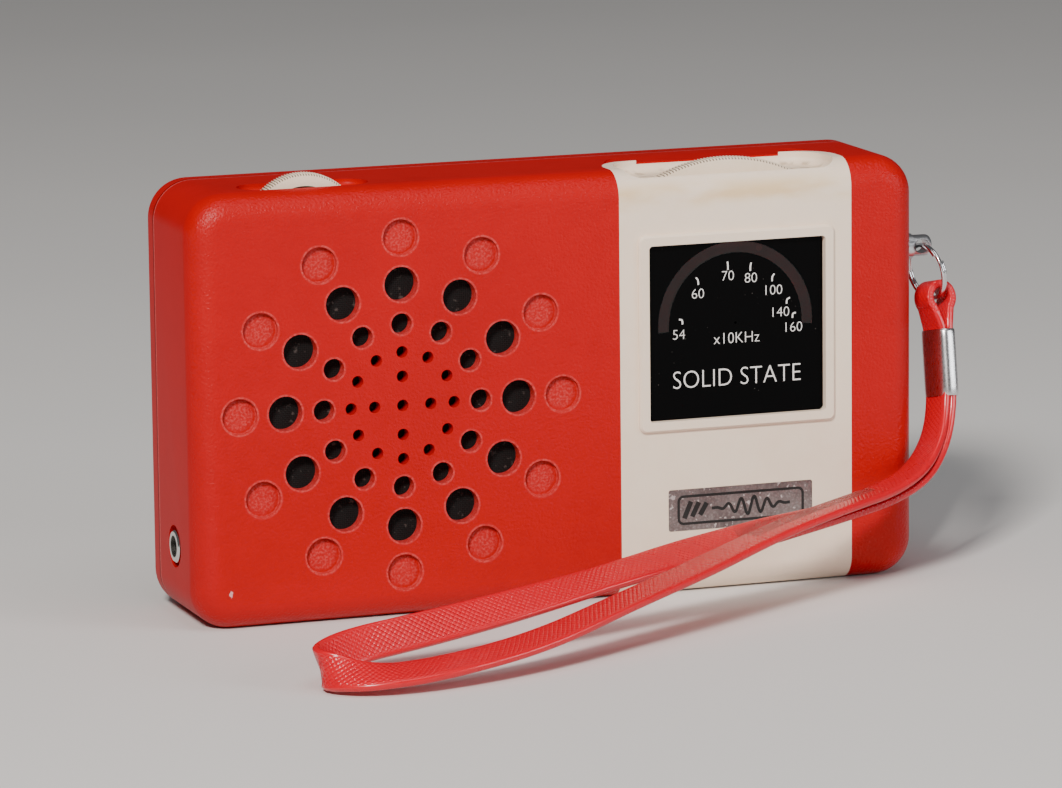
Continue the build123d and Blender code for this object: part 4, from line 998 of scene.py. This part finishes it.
def sweep_points(path: np.ndarray, wide: np.ndarray, section: np.ndarray) -> np.ndarray:
    """Carry an outline along a path.

    Each row is a path point plus the outline's two coordinates along the width direction and
    along the tangent crossed with the width direction.

    Args:
        path: Points by three.
        wide: The width direction at each point.
        section: The outline, points by two, or one outline for each path point.

    Returns:
        Rows by columns by three.
    """
    tangent = unit(np.gradient(path, axis=0))
    wide = unit(wide - tangent * np.sum(wide * tangent, axis=-1, keepdims=True))
    thin = np.cross(tangent, wide)
    outline = np.broadcast_to(section, (len(path), *section.shape[-2:]))
    return (path[:, None, :] + outline[..., 0:1] * wide[:, None, :] + outline[..., 1:2] * thin[:, None, :])


def nurbs_line(points: Sequence[Sequence[float]], resolution: int = 14) -> np.ndarray:
    """Read the smooth line of a NURBS spline with these control points.

    Args:
        points: The control points, in metres.
        resolution: Points for each span.

    Returns:
        Points by three, along the line.
    """
    curve = bpy.data.curves.new("route", "CURVE")
    curve.dimensions = "3D"
    spline = curve.splines.new("NURBS")
    spline.points.add(len(points) - 1)
    for point, place in zip(spline.points, points):
        point.co = (*place, 1.0)
    spline.order_u = 3
    spline.use_endpoint_u = True
    spline.resolution_u = resolution
    holder = bpy.data.objects.new("route", curve)
    mesh = bpy.data.meshes.new_from_object(holder)
    line = mesh_points(mesh)
    bpy.data.objects.remove(holder)
    bpy.data.curves.remove(curve)
    bpy.data.meshes.remove(mesh)
    return line


def reach_along(line: np.ndarray) -> np.ndarray:
    """Return the length along a line of points, up to each one."""
    return np.concatenate([[0.0], np.cumsum(np.linalg.norm(np.diff(line, axis=0), axis=1))])


def even_line(line: np.ndarray, count: int) -> np.ndarray:
    """Place a number of points evenly by length along a line of points."""
    reach = reach_along(line)
    wanted = np.linspace(0.0, reach[-1], count)
    return np.stack([np.interp(wanted, reach, line[:, k]) for k in range(3)], axis=-1)


def front_band(name: str, near: np.ndarray, far: np.ndarray, y: float, height: float,
               **ends: bool) -> bpy.types.Mesh:
    """A thin band between two lines in a plane that faces the front.

    Args:
        name: The mesh's name.
        near: X and Z of one edge's points.
        far: As many points of the other edge.
        y: The place of its front face.
        height: Its thickness.
        **ends: How the grid closes its two ends.

    Returns:
        The closed mesh.
    """
    corners = [(near, y), (far, y), (far, y + height), (near, y + height)]
    columns = [np.stack([xz[:, 0], np.full(len(xz), depth), xz[:, 1]], axis=-1) for xz, depth in corners]
    return grid_mesh(name, np.stack(columns, axis=1), wrap_columns=True, **ends)


def flat_ribbon(name: str, centre: np.ndarray, width: float, y: float, height: float) -> bpy.types.Mesh:
    """A thin flat line of constant width in a plane that faces the front.

    The two edges are the centre line moved half the width along its own normal.

    Args:
        name: The mesh's name.
        centre: X and Z of the line's points.
        width: The line's width.
        y: The place of its front face.
        height: Its thickness.

    Returns:
        The closed mesh.
    """
    tangent = unit(np.gradient(centre, axis=0))
    normal = np.stack([-tangent[:, 1], tangent[:, 0]], axis=-1) * width / 2
    return front_band(name, centre + normal, centre - normal, y, height, cap=True)


def printed_text(name: str, words: str, height: float, x: float, z: float, y: float, depth: float,
                 stretch: float = 1.0) -> bpy.types.Mesh:
    """Lettering as a thin mesh that faces the front, centred on a place.

    Args:
        name: The mesh's name.
        words: The characters.
        height: The height of a capital.
        x: The centre's X.
        z: The centre's Z.
        y: The front face's Y.
        depth: Its thickness.
        stretch: How wide the characters are drawn for their height.

    Returns:
        The mesh in place.
    """
    curve = bpy.data.curves.new(name, "FONT")
    curve.body = words
    curve.size = 1.0
    curve.extrude = 0.5
    curve.offset = -0.016
    curve.resolution_u = 4
    holder = bpy.data.objects.new(name, curve)
    mesh = bpy.data.meshes.new_from_object(holder)
    bpy.data.objects.remove(holder)
    bpy.data.curves.remove(curve)
    points = mesh_points(mesh)
    low, high = points.min(axis=0), points.max(axis=0)
    scale = height / (high[1] - low[1])
    middle = (low + high) / 2
    placed = np.stack([x + (points[:, 0] - middle[0]) * scale * stretch, y + depth / 2 - points[:, 2] * depth,
                       z + (points[:, 1] - middle[1]) * scale], axis=-1)
    mesh.vertices.foreach_set("co", placed.ravel())
    mesh.update()
    mesh.name = name
    return mesh


# ---- sub-assemblies ---------------------------------------------------------------------------


@dataclass
class CaseShells:
    """The two red halves, the cream band and the cloth behind the grille."""

    edge: float = 0.00020

    def build(self) -> None:
        """Dress the shells and the speaker cloth."""
        red, cream = CaseFinish().make(), TrimFinish().make()
        dress_node("front_shell", Body.CASE, red, self.edge)
        dress_node("back_cover", Body.REAR, red, self.edge)
        dress_node("trim_band", Body.CASE, cream, self.edge)
        dress_node("speaker_cloth", Body.CASE, ClothFinish().make())


@dataclass
class DialWindow:
    """The dark dial with its clear arc, printed numbers and ticks."""

    centre_x: float = 0.0307
    centre_z: float = 0.0452
    arc_inner: float = 0.0118
    arc_outer: float = 0.0137
    gap: float = 0.00001
    arc_from: float = -4.0
    arc_to: float = 184.0
    tick_width: float = 0.00026
    knee: float = 0.00062
    stem: float = 0.00078
    number_height: float = 0.00160
    ink: float = 0.00003
    stations: tuple[tuple[str, float, float, float, float], ...] = (
        ("54", 0.02067, 0.04636, 0.02065, 0.04385), ("60", 0.02372, 0.05320, 0.02406, 0.05050),
        ("70", 0.02932, 0.05553, 0.02939, 0.05318), ("80", 0.03355, 0.05510, 0.03348, 0.05259),
        ("100", 0.03767, 0.05299, 0.03757, 0.05031), ("140", 0.04043, 0.04879, 0.03881, 0.04653),
        ("160", 0.04150, 0.04619, 0.04113, 0.04385),
    )

    def polar(self, radii: np.ndarray, angles: np.ndarray, y: float) -> np.ndarray:
        """Points on circles about the dial's centre, one row for each angle."""
        x = self.centre_x + np.outer(np.cos(angles), radii)
        z = self.centre_z + np.outer(np.sin(angles), radii)
        return np.stack([x, np.full_like(x, y), z], axis=-1)

    def mask(self, low: Vector, high: Vector, angles: np.ndarray) -> bpy.types.Mesh:
        """The dark plate: rings about the dial's centre that end on the window's outline.

        The last ring's radius at each angle is the distance to the nearer side of the window.

        Args:
            low: The window's lowest corner.
            high: The window's highest corner.
            angles: The angle of each spoke.

        Returns:
            The plate, open along the clear arc.
        """
        cosine, sine = np.cos(angles), np.sin(angles)
        side_x = np.where(cosine > 0, high.x - self.centre_x, self.centre_x - low.x)
        side_z = np.where(sine > 0, high.z - self.centre_z, self.centre_z - low.z)
        border = np.minimum(side_x / np.maximum(np.abs(cosine), 1e-9),
                            side_z / np.maximum(np.abs(sine), 1e-9))
        radii = np.array([0.0002, 0.006, self.arc_inner, self.arc_outer])
        points = self.polar(radii, angles, low.y)
        rim = np.stack([self.centre_x + border * cosine, np.full_like(cosine, low.y),
                        self.centre_z + border * sine], axis=-1)
        points = np.concatenate([points, rim[:, None, :]], axis=1)
        open_arc = (np.degrees(angles) >= self.arc_from) & (np.degrees(angles) < self.arc_to)
        keep = np.ones((len(angles), 4), dtype=bool)
        keep[open_arc, 2] = False
        return grid_mesh("dial_mask", points, wrap_rows=True, keep=keep)

    def build(self) -> None:
        """Build the mask, the clear arc, the ticks and the lettering."""
        low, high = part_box("dial_window")
        gloss = DialFinish().make()
        white = MouldedFinish("dial_print_white", (0.86, 0.86, 0.84), (0.72, 0.72, 0.70), 0.5,
                              depth=0.000002).make()
        angles = np.radians(np.arange(-4.0, 356.0, 2.0))
        plate = thick_sheet(self.mask(low, high, angles), high.y - low.y)
        add_piece(plate, "dial_mask", Body.CASE, gloss, ["dial_window"])
        degrees = np.degrees(angles)
        arc = angles[(degrees > self.arc_from - 0.1) & (degrees < self.arc_to + 0.1)]
        edges = np.array([self.arc_inner + self.gap, self.arc_outer - self.gap])
        strip = thick_sheet(grid_mesh("dial_arc", self.polar(edges, arc, low.y)), 0.0004)
        add_piece(strip, "dial_clear_arc", Body.CASE, ClearFinish().make())
        front = low.y - self.ink
        for station in self.stations:
            self.station(*station, front, white)
        for name, words, height, x, z, stretch in (
            ("dial_unit", "x10KHz", 0.0018, 0.0309, 0.0427, 0.93),
            ("dial_words", "SOLID STATE", 0.0029, 0.03095, 0.0362, 0.905),
        ):
            mesh = printed_text(name, words, height, x, z, front, self.ink, stretch)
            add_piece(mesh, name, Body.CASE, white)

    def station(self, words: str, tick_x: float, tick_z: float, x: float, z: float, front: float,
                white: bpy.types.Material) -> None:
        """Print one number with its bent tick: short and radial outside, upright inside.

        Args:
            words: The number.
            tick_x: The tick's outer end.
            tick_z: The tick's outer end.
            x: The number's centre.
            z: The number's centre.
            front: The Y of the print's face.
            white: The print's finish.
        """
        mesh = printed_text("number_" + words, words, self.number_height, x, z, front, self.ink)
        add_piece(mesh, "dial_number_" + words, Body.CASE, white)
        outer = np.array([tick_x, tick_z])
        inward = unit(np.array([self.centre_x, self.centre_z]) - outer)
        knee = outer + inward * self.knee
        foot = knee - np.array([0.0, self.stem])
        share = np.linspace(0.0, 1.0, 9)[:, None]
        line = (1 - share) ** 3 * outer + 3 * share * (1 - share) * knee + share ** 3 * foot
        tick = flat_ribbon("tick_" + words, line, self.tick_width, front, self.ink)
        add_piece(tick, "dial_tick_" + words, Body.CASE, white)


@dataclass
class Badge:
    """The foil plate with a black outline and a plain wave motif."""

    outline_width: float = 0.0222
    outline_height: float = 0.0046
    outline_radius: float = 0.0009
    line: float = 0.00044
    ink: float = 0.00003

    def outline(self, grow: float, x: float, z: float) -> np.ndarray:
        """The rounded outline, moved out or in by grow."""
        points = rounded_section(self.outline_width + 2 * grow, self.outline_height + 2 * grow,
                                 self.outline_radius + grow, 8)
        return points + np.array([x, z])

    def build(self) -> None:
        """Dress the plate and print its outline and motif."""
        dress_node("badge", Body.CASE, FoilFinish().make())
        low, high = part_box("badge")
        x, z, front = (low.x + high.x) / 2, (low.z + high.z) / 2, low.y - self.ink
        black = MouldedFinish("badge_print_black", (0.008, 0.008, 0.008), (0.03, 0.028, 0.026), 0.38,
                              depth=0.000003).make()
        frame = front_band("badge_outline", self.outline(self.line / 2, x, z),
                           self.outline(-self.line / 2, x, z), front, self.ink, wrap_rows=True)
        add_piece(frame, "badge_outline", Body.CASE, black)
        share = np.linspace(0.0, 1.0, 121)
        swell = np.sin(math.pi * share) ** 2
        wave = np.stack([x + 0.0018 + (share - 0.5) * 0.0140,
                         z + 0.00150 * swell * np.sin(2 * math.pi * 6 * share)], axis=-1)
        add_piece(flat_ribbon("badge_wave", wave, 0.00050, front, self.ink), "badge_wave", Body.CASE, black)
        for index, start in enumerate((-0.0095, -0.0081, -0.0067)):
            reach = 0.0014 - 0.0002 * index
            bar = np.array([[x + start - 0.0006, z - reach], [x + start, z], [x + start + 0.0006, z + reach]])
            add_piece(flat_ribbon("badge_bar", bar, 0.00085, front, self.ink), "badge_bar_" + str(index + 1),
                      Body.CASE, black)


@dataclass
class ThumbWheel:
    """A cream thumb wheel with a finely knurled rim."""

    node: str
    body: Body
    centre_x: float
    centre_z: float
    shaft_radius: float
    teeth: int
    tooth: float

    def build(self) -> None:
        """Build the wheel as one turned surface.

        The profile runs from the bore out over the front face, across the rim and back. On the rim
        the radius falls by a rounded tooth: its depth times the absolute sine of half the teeth's
        angle.
        """
        low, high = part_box(self.node)
        radius = (high.x - low.x) / 2
        chamfer = 0.0003
        stations = [(self.shaft_radius, 0.0, 0.0), (self.shaft_radius + 0.002, 0.0, 0.0),
                    (radius * 0.79, 0.0, 0.0), (radius * 0.80, 0.00002, 0.0),
                    (radius - 0.0030, 0.00002, 0.0), (radius - 0.0027, 0.0, 0.0),
                    (radius - chamfer, 0.0, 0.0), (radius, chamfer, 1.0)]
        depth = high.y - low.y
        back = [(r, depth - y, t) for r, y, t in stations[::-1]]
        profile = np.array(stations + back)
        angle = np.linspace(0.0, 2 * math.pi, self.teeth * 4, endpoint=False)
        cut = self.tooth * (1.0 - np.abs(np.sin(angle * self.teeth / 2)))
        reach = profile[None, :, 0] - cut[:, None] * profile[None, :, 2]
        x = self.centre_x + reach * np.cos(angle)[:, None]
        z = self.centre_z + reach * np.sin(angle)[:, None]
        y = np.broadcast_to(low.y + profile[:, 1], x.shape)
        mesh = grid_mesh(self.node + "_knurled", np.stack([x, y, z], axis=-1), wrap_rows=True,
                         wrap_columns=True)
        cream = WheelFinish(self.node + "_cream", self.centre_x, self.centre_z, radius, self.tooth,
                            self.teeth).make()
        add_piece(mesh, self.node + "_knurled", self.body, cream, [self.node])


# The strap's route and its turn at each point, as in the CAD model, in millimetres and degrees.
STRAP_ROUTE = (
    (68.52, -9.74, 33.64), (68.33, -11.33, 26.63), (62.9, -17.0, 19.8), (54.5, -22.9, 17.1),
    (42.5, -29.5, 16.2), (28.5, -36.5, 14.5), (12.5, -44.6, 11.2), (-4.5, -53.0, 8.3), (-20.0, -60.2, 5.2),
    (-35.0, -65.2, 3.7), (-47.5, -66.6, 2.8), (-55.0, -63.4, 3.0), (-57.2, -58.0, 3.7), (-51.0, -52.6, 4.8),
    (-37.5, -51.0, 6.3), (-22.5, -48.0, 8.0), (-5.5, -43.6, 10.1), (12.5, -37.6, 12.3), (29.5, -31.5, 13.6),
    (44.5, -26.0, 14.6), (55.6, -21.6, 15.6), (64.1, -16.3, 18.5), (69.6, -11.08, 26.53),
    (69.79, -9.49, 33.55))
STRAP_LEANS = (0, 0, 6, 10, 12, 14, 18, 18, 22, 24, 28, 40, 60, 62, 55, 45, 32, 36, 34, 20, 10, 6, 0, 0)


@dataclass
class WristStrap:
    """The embossed strap, its eye on the split ring, the ring and the steel ferrule."""

    width: float = 0.0060
    thickness: float = 0.0012
    ferrule_top: tuple[float, float, float] = (0.06935, -0.0080, 0.0407)
    ferrule_bottom: tuple[float, float, float] = (0.06905, -0.0105, 0.0297)
    grip: float = 0.004
    eye_radius: float = 0.0017
    eye_width: float = 0.0044
    ring_radius: float = 0.00464
    ring_wire: float = 0.0007
    hole: tuple[float, float, float] = (0.06735, -0.0045, 0.0548)
    hang: tuple[float, float, float] = (0.205, -0.21, -0.955)
    across_hint: tuple[float, float, float] = (0.25, -0.97, 0.0)
    ferrule_wall: float = 0.0005
    fit: float = 0.0001

    def frame(self) -> tuple[np.ndarray, np.ndarray, np.ndarray, np.ndarray]:
        """Return the ring's hanging direction, its cross direction, and the ferrule's up and width."""
        hang = unit(np.array(self.hang))
        across = np.array(self.across_hint)
        across = unit(across - hang * across.dot(hang))
        up = unit(np.array(self.ferrule_top) - np.array(self.ferrule_bottom))
        wide = unit(across - up * across.dot(up))
        return hang, across, up, wide

    def strap_directions(self, line: np.ndarray) -> np.ndarray:
        """The strap's width direction along its line, turned up from the ferrule's.

        The turn at each point of the route is carried over by its share of the whole length.

        Args:
            line: Points spaced evenly along the strap.

        Returns:
            One direction for each point.
        """
        reach = reach_along(np.array(STRAP_ROUTE))
        lean = np.radians(np.interp(np.linspace(0.0, 1.0, len(line)), reach / reach[-1], STRAP_LEANS))
        wide = self.frame()[3]
        return wide[None, :] * np.cos(lean)[:, None] - np.array([0.0, 0.0, 1.0]) * np.sin(lean)[:, None]

    def ribbon(self, name: str, line: np.ndarray, wide: np.ndarray, widths: np.ndarray) -> bpy.types.Mesh:
        """A flat band along a line.

        Args:
            name: The mesh's name.
            line: The centre line.
            wide: The width direction at each point.
            widths: The band's width at each point.

        Returns:
            The closed mesh.
        """
        base = rounded_section(self.width, self.thickness, 0.00042, 4)
        crowned = base.copy()
        crowned[:, 1] += np.where(np.abs(base[:, 1]) > 0.0005, np.sign(base[:, 1]) * 0.00004, 0.0)
        outline = np.repeat(crowned[None, :, :], len(line), axis=0)
        outline[:, :, 0] *= (widths / self.width)[:, None]
        mesh = grid_mesh(name, sweep_points(line, wide, outline), wrap_columns=True, cap=True)
        return mesh

    def paint_uv(self, mesh: bpy.types.Mesh, line: np.ndarray, wide: np.ndarray) -> None:
        """Give a band a UV map: U across it and V along it, both in metres.

        Each corner takes the nearest line point.

        Args:
            mesh: The band.
            line: The centre line.
            wide: The width direction at each point.
        """
        points = mesh_points(mesh)
        tangent = unit(np.gradient(line, axis=0))
        wide = unit(wide - tangent * np.sum(wide * tangent, axis=-1, keepdims=True))
        reach = reach_along(line)
        gaps = np.linalg.norm(points[:, None, :] - line[None, :, :], axis=2)
        nearest = gaps.argmin(axis=1)
        offset = points - line[nearest]
        across = np.sum(offset * wide[nearest], axis=1)
        pairs = np.stack([across, reach[nearest]], axis=-1)
        loops = np.zeros(len(mesh.loops), dtype=np.int32)
        mesh.loops.foreach_get("vertex_index", loops)
        layer = mesh.uv_layers.new(name="strap")
        layer.data.foreach_set("uv", pairs[loops].ravel())

    def build_strap(self, vinyl: bpy.types.Material) -> None:
        line = even_line(nurbs_line(np.array(STRAP_ROUTE) * MM), 260)
        wide = self.strap_directions(line)
        mesh = self.ribbon("wrist_strap_vinyl", line, wide, np.full(len(line), self.width))
        self.paint_uv(mesh, line, wide)
        strap = add_piece(mesh, "wrist_strap_vinyl", Body.STRAP, vinyl, ["wrist_strap"])
        log.info("strap line %.4f m", reach_along(line)[-1])
        self.strap, self.line = strap, line

    def build_eye(self, vinyl: bpy.types.Material) -> bpy.types.Object:
        """Build the eye: up out of the ferrule, round the ring's wire and back down.

        Args:
            vinyl: The strap's material.

        Returns:
            The eye.
        """
        hang, across, up, wide = self.frame()
        thin = np.cross(wide, up)
        wire = np.array(self.hole) + hang * 2 * self.ring_radius
        grip = np.array(self.ferrule_top) - up * self.grip
        rise, side = (wire - grip).dot(up), (wire - grip).dot(thin)
        radius = self.eye_radius + self.thickness / 2
        leg = self.thickness / 2 + self.fit / 2
        turn = np.linspace(-0.25 * math.pi, 1.25 * math.pi, 40)
        arch = np.stack([side + radius * np.cos(turn), rise + radius * np.sin(turn)], axis=-1)
        start = np.array([[leg, 0.0], [leg, self.grip * 0.5], [leg, self.grip],
                          [leg * 1.15, self.grip + 0.0008]])
        flat = np.concatenate([start, arch, start[::-1] * np.array([-1.0, 1.0])])
        line = grip + flat[:, 0:1] * thin + flat[:, 1:2] * up
        line = even_line(nurbs_line(line, 4), 90)
        height = (line - grip) @ up
        share = np.clip((height - self.grip) / (rise - self.grip), 0.0, 1.0)
        widths = 0.0057 + (self.eye_width - 0.0057) * share * share * (3 - 2 * share)
        directions = np.repeat(wide[None, :], len(line), axis=0)
        mesh = self.ribbon("strap_eye_vinyl", line, directions, widths)
        self.paint_uv(mesh, line, directions)
        return add_piece(mesh, "strap_eye_vinyl", Body.STRAP, vinyl, ["strap_eye"])

    def build_ring(self, wire: bpy.types.Material) -> None:
        """Build the split ring: two turns of round wire that climb by one wire's width."""
        hang, across, _, _ = self.frame()
        axis = unit(np.cross(across, hang))
        centre = np.array(self.hole) + hang * self.ring_radius
        turn = np.linspace(0.0, 4 * math.pi - 0.25, 220)
        shift = (turn / turn[-1] - 0.5) * self.ring_wire * 1.06
        spread = self.ring_radius + 0.00004 * np.sin(turn * 0.5)
        start = math.radians(118.0)
        circle = np.cos(turn + start)[:, None] * hang + np.sin(turn + start)[:, None] * across
        line = centre + spread[:, None] * circle + shift[:, None] * axis
        angle = np.linspace(0.0, 2 * math.pi, 14, endpoint=False)
        outline = self.ring_wire / 2 * np.stack([np.cos(angle), np.sin(angle)], axis=-1)
        directions = np.repeat(axis[None, :], len(line), axis=0)
        mesh = grid_mesh("split_ring_wire", sweep_points(line, directions, outline), wrap_columns=True,
                         cap=True)
        add_piece(mesh, "split_ring_wire", Body.RING, wire, ["split_ring"])

    def build_ferrule(self, steel: bpy.types.Material) -> bpy.types.Object:
        """Build the ferrule: a folded sleeve that is a little fuller in its middle.

        Returns:
            The ferrule.
        """
        _, _, up, wide = self.frame()
        bottom, top = np.array(self.ferrule_bottom), np.array(self.ferrule_top)
        length = float(np.linalg.norm(top - bottom))
        share = np.array([0.0, 0.012, 0.04, 0.12, 0.3, 0.5, 0.7, 0.88, 0.96, 0.988, 1.0])
        line = bottom + up * (share * length)[:, None]
        inner_width, inner_depth = self.width + 2 * self.fit, 2 * self.thickness + 3 * self.fit
        outer = oval_section(inner_width + 2 * self.ferrule_wall, inner_depth + 2 * self.ferrule_wall, 3.0)
        inner = oval_section(inner_width, inner_depth, 10.0)
        swell = 1.0 - 0.045 * np.array([1.6, 0.8, 0.3, 0.05, 0.0, 0.0, 0.0, 0.05, 0.3, 0.8, 1.6])
        outside = np.repeat(outer[None], len(line), axis=0) * swell[:, None, None]
        directions = np.repeat(wide[None, :], len(line), axis=0)
        shell = sweep_points(line, directions, outside)
        hollow = sweep_points(line, directions, np.repeat(inner[None], len(line), axis=0))
        points = np.concatenate([shell, hollow[::-1]], axis=0)
        mesh = grid_mesh("strap_ferrule_steel", points, wrap_rows=True, wrap_columns=True)
        return add_piece(mesh, "strap_ferrule_steel", Body.STRAP, steel,
                         ["strap_ferrule"])

    def build(self) -> None:
        """Build the strap's pieces and the stud they hang from."""
        vinyl = StrapFinish().make()
        self.build_strap(vinyl)
        eye = self.build_eye(vinyl)
        self.build_ring(MetalFinish("ring_plated_wire", (0.80, 0.80, 0.82), (0.66, 0.64, 0.62), 0.16,
                                    scratch=0.0000003).make())
        ferrule = self.build_ferrule(MetalFinish("ferrule_bright_steel", (0.78, 0.78, 0.79),
                                                 (0.60, 0.58, 0.56), 0.27).make())
        dress_node("strap_stud", Body.CASE, MetalFinish("stud_aluminium", (0.76, 0.76, 0.78),
                                                        (0.58, 0.58, 0.60), 0.30).make(), 0.0001)


@dataclass
class InnerParts:
    """The speaker, circuit board, battery and everything else inside the case."""

    board_face: float = -0.0026

    def build(self) -> None:
        """Dress each inner node with its own finish."""
        steel = MetalFinish("plated_steel", (0.62, 0.60, 0.55), (0.45, 0.42, 0.36), 0.32).make()
        bright = MetalFinish("bright_plate", (0.78, 0.77, 0.74), (0.60, 0.58, 0.54), 0.2).make()
        black = MouldedFinish("black_moulding", (0.018, 0.018, 0.019), (0.035, 0.034, 0.033), 0.42).make()
        ferrite = MouldedFinish("pressed_ferrite", (0.045, 0.043, 0.044), (0.075, 0.070, 0.068), 0.55,
                                grain=0.0003).make()
        paper = MouldedFinish("cone_paper_black", (0.03, 0.028, 0.026), (0.055, 0.05, 0.045), 0.9,
                              grain=0.0004, depth=0.00004).make()
        cans = MetalFinish("can_aluminium", (0.70, 0.70, 0.71), (0.52, 0.51, 0.50), 0.34).make()
        tuner = MouldedFinish("tuner_polystyrene", (0.62, 0.60, 0.52), (0.50, 0.47, 0.38), 0.22,
                              coat=0.3).make()
        tape = MouldedFinish("winding_tape", (0.62, 0.47, 0.10), (0.48, 0.34, 0.07), 0.4).make()
        core = WoundFinish("core_laminations", (0.24, 0.24, 0.25), 2, 0.00035, 0.9).make()
        copper = WoundFinish("litz_winding", (0.62, 0.26, 0.10), 0, 0.00032).make()
        coil = WoundFinish("voice_coil_wire", (0.62, 0.26, 0.10), 1, 0.00015).make()
        ceramic = MouldedFinish("ceramic_dip", (0.50, 0.24, 0.07), (0.38, 0.17, 0.05), 0.35, coat=0.3).make()
        lead = MouldedFinish("lead_vinyl_red", (0.45, 0.02, 0.02), (0.30, 0.012, 0.012), 0.4).make()
        face = self.board_face
        resistor = BandedFinish("resistor_lacquer", (0.42, 0.26, 0.13), (
            (face + 0.0014, face + 0.0020, (0.30, 0.10, 0.02)),
            (face + 0.0026, face + 0.0032, (0.01, 0.01, 0.01)),
            (face + 0.0038, face + 0.0044, (0.60, 0.03, 0.02)),
            (face + 0.0053, face + 0.0058, (0.60, 0.42, 0.08)))).make()
        sleeve = BandedFinish("capacitor_sleeve", (0.02, 0.07, 0.26), (
            (face + 0.0050, face + 0.0054, (0.70, 0.72, 0.74)),
            (face + 0.0074, face + 0.0082, (0.55, 0.55, 0.55)))).make()
        finishes: dict[str, bpy.types.Material] = {
            "speaker_frame": steel, "speaker_cone": paper, "speaker_dust_cap": paper, "speaker_coil": coil,
            "speaker_magnet": ferrite, "speaker_screws": bright, "circuit_board": BoardFinish().make(),
            "board_screws": bright, "tuning_capacitor": tuner, "trimmer_screws": bright,
            "volume_control": black, "screened_coils": cans, "coil_slugs": ferrite, "transistors": black,
            "electrolytic_capacitors": sleeve, "ceramic_capacitors": ceramic, "resistors": resistor,
            "transformer_cores": core, "transformer_windings": tape, "ferrite_rod": ferrite,
            "aerial_coil": copper, "aerial_holders": black, "battery": BatteryFinish().make(),
            "battery_terminals": bright, "battery_snap": black, "battery_leads": lead,
            "speaker_leads": lead, "jack_body": black, "jack_bush": bright,
        }
        for node, material in finishes.items():
            dress_node(node, Body.CASE, material)
        turning = {"tuning_shaft": (Body.TUNING, bright), "tuning_screw": (Body.TUNING, bright),
                   "volume_shaft": (Body.VOLUME, bright), "volume_screw": (Body.VOLUME, bright)}
        for node, (body, material) in turning.items():
            dress_node(node, body, material)
        disc = MouldedFinish("dial_disc_red", (0.36, 0.012, 0.010), (0.24, 0.008, 0.008), 0.3,
                             coat=0.3).make()
        dot = MouldedFinish("pointer_paint", (0.90, 0.90, 0.88), (0.78, 0.77, 0.74), 0.4,
                            depth=0.000003).make()
        dress_node("dial_disc", Body.TUNING, disc)
        dress_node("pointer_dot", Body.TUNING, dot)


@dataclass
class Studio:
    """The floor, the lights and the camera."""

    azimuth: float = -19.43
    elevation: float = 10.02
    roll: float = -0.62
    distance: float = 1.0
    lens: float = 206.5
    target: tuple[float, float, float] = (-0.00558, -0.0135, 0.03576)
    floor_size: float = 6.0

    def camera(self) -> None:
        """Point the camera at the radio from its front left."""
        a, e, r = (math.radians(v) for v in (self.azimuth, self.elevation, self.roll))
        back = Vector((math.sin(a) * math.cos(e), -math.cos(a) * math.cos(e), math.sin(e)))
        right = Vector((math.cos(a), math.sin(a), 0.0))
        up = back.cross(right)
        side = right * math.cos(r) + up * math.sin(r)
        top = up * math.cos(r) - right * math.sin(r)
        data = bpy.data.cameras.new("camera")
        data.lens = self.lens
        data.sensor_width = 36.0
        data.clip_start = 0.01
        camera = bpy.data.objects.new("camera", data)
        turn = Matrix((side, top, back)).transposed().to_4x4()
        camera.matrix_world = Matrix.Translation(Vector(self.target) + back * self.distance) @ turn
        bpy.context.scene.collection.objects.link(camera)
        bpy.context.scene.camera = camera

    def area(self, name: str, place: Sequence[float], size: float, watts: float, tint: Colour) -> None:
        """Add a square soft light that faces the radio.

        Args:
            name: The light's name.
            place: Where it stands.
            size: The length of its side.
            watts: Its power.
            tint: Its colour.
        """
        data = bpy.data.lights.new(name, "AREA")
        data.size = size
        data.energy = watts
        data.color = tint
        light = bpy.data.objects.new(name, data)
        light.location = place
        aim = Vector(self.target) - Vector(place)
        light.rotation_euler = aim.to_track_quat("-Z", "Y").to_euler()
        bpy.context.scene.collection.objects.link(light)

    def floor(self) -> None:
        """Add the plain pale floor."""
        half = self.floor_size / 2
        points = np.array([[[-half, -half, 0.0], [half, -half, 0.0]],
                           [[-half, half, 0.0], [half, half, 0.0]]])
        mesh = grid_mesh("floor", points)
        piece = bpy.data.objects.new("floor", mesh)
        mesh.materials.append(FloorFinish().make())
        bpy.context.scene.collection.objects.link(piece)

    def build(self) -> None:
        """Set the stage."""
        self.camera()
        self.floor()
        self.area("key", (-0.62, -0.95, 0.85), 0.24, 24.0, (1.0, 0.95, 0.90))
        self.area("top", (0.10, -0.45, 1.2), 0.7, 3.5, (1.0, 1.0, 1.0))
        self.area("fill", (0.95, -0.85, 0.40), 0.5, 5.0, (0.97, 0.98, 1.0))
        world = bpy.data.worlds.new("studio")
        world.use_nodes = True
        world.node_tree.nodes["Background"].inputs["Color"].default_value = (0.80, 0.82, 0.85, 1.0)
        world.node_tree.nodes["Background"].inputs["Strength"].default_value = 0.10
        bpy.context.scene.world = world


def main() -> None:
    """Build the radio's looks in order and report each piece."""
    logging.basicConfig(level=logging.INFO, format="%(name)s: %(message)s")
    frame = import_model()
    log.info("frame holds %d nodes", len(frame["nodes"]))
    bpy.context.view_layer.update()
    Studio().build()
    WristStrap().build()
    CaseShells().build()
    DialWindow().build()
    Badge().build()
    ThumbWheel("tuning_wheel", Body.TUNING, 0.0307, 0.0452, 0.0030, 300, 0.00034).build()
    ThumbWheel("volume_wheel", Body.VOLUME, -0.04205, 0.0636, 0.0020, 132, 0.00038).build()
    InnerParts().build()


if __name__ == "__main__":
    main()
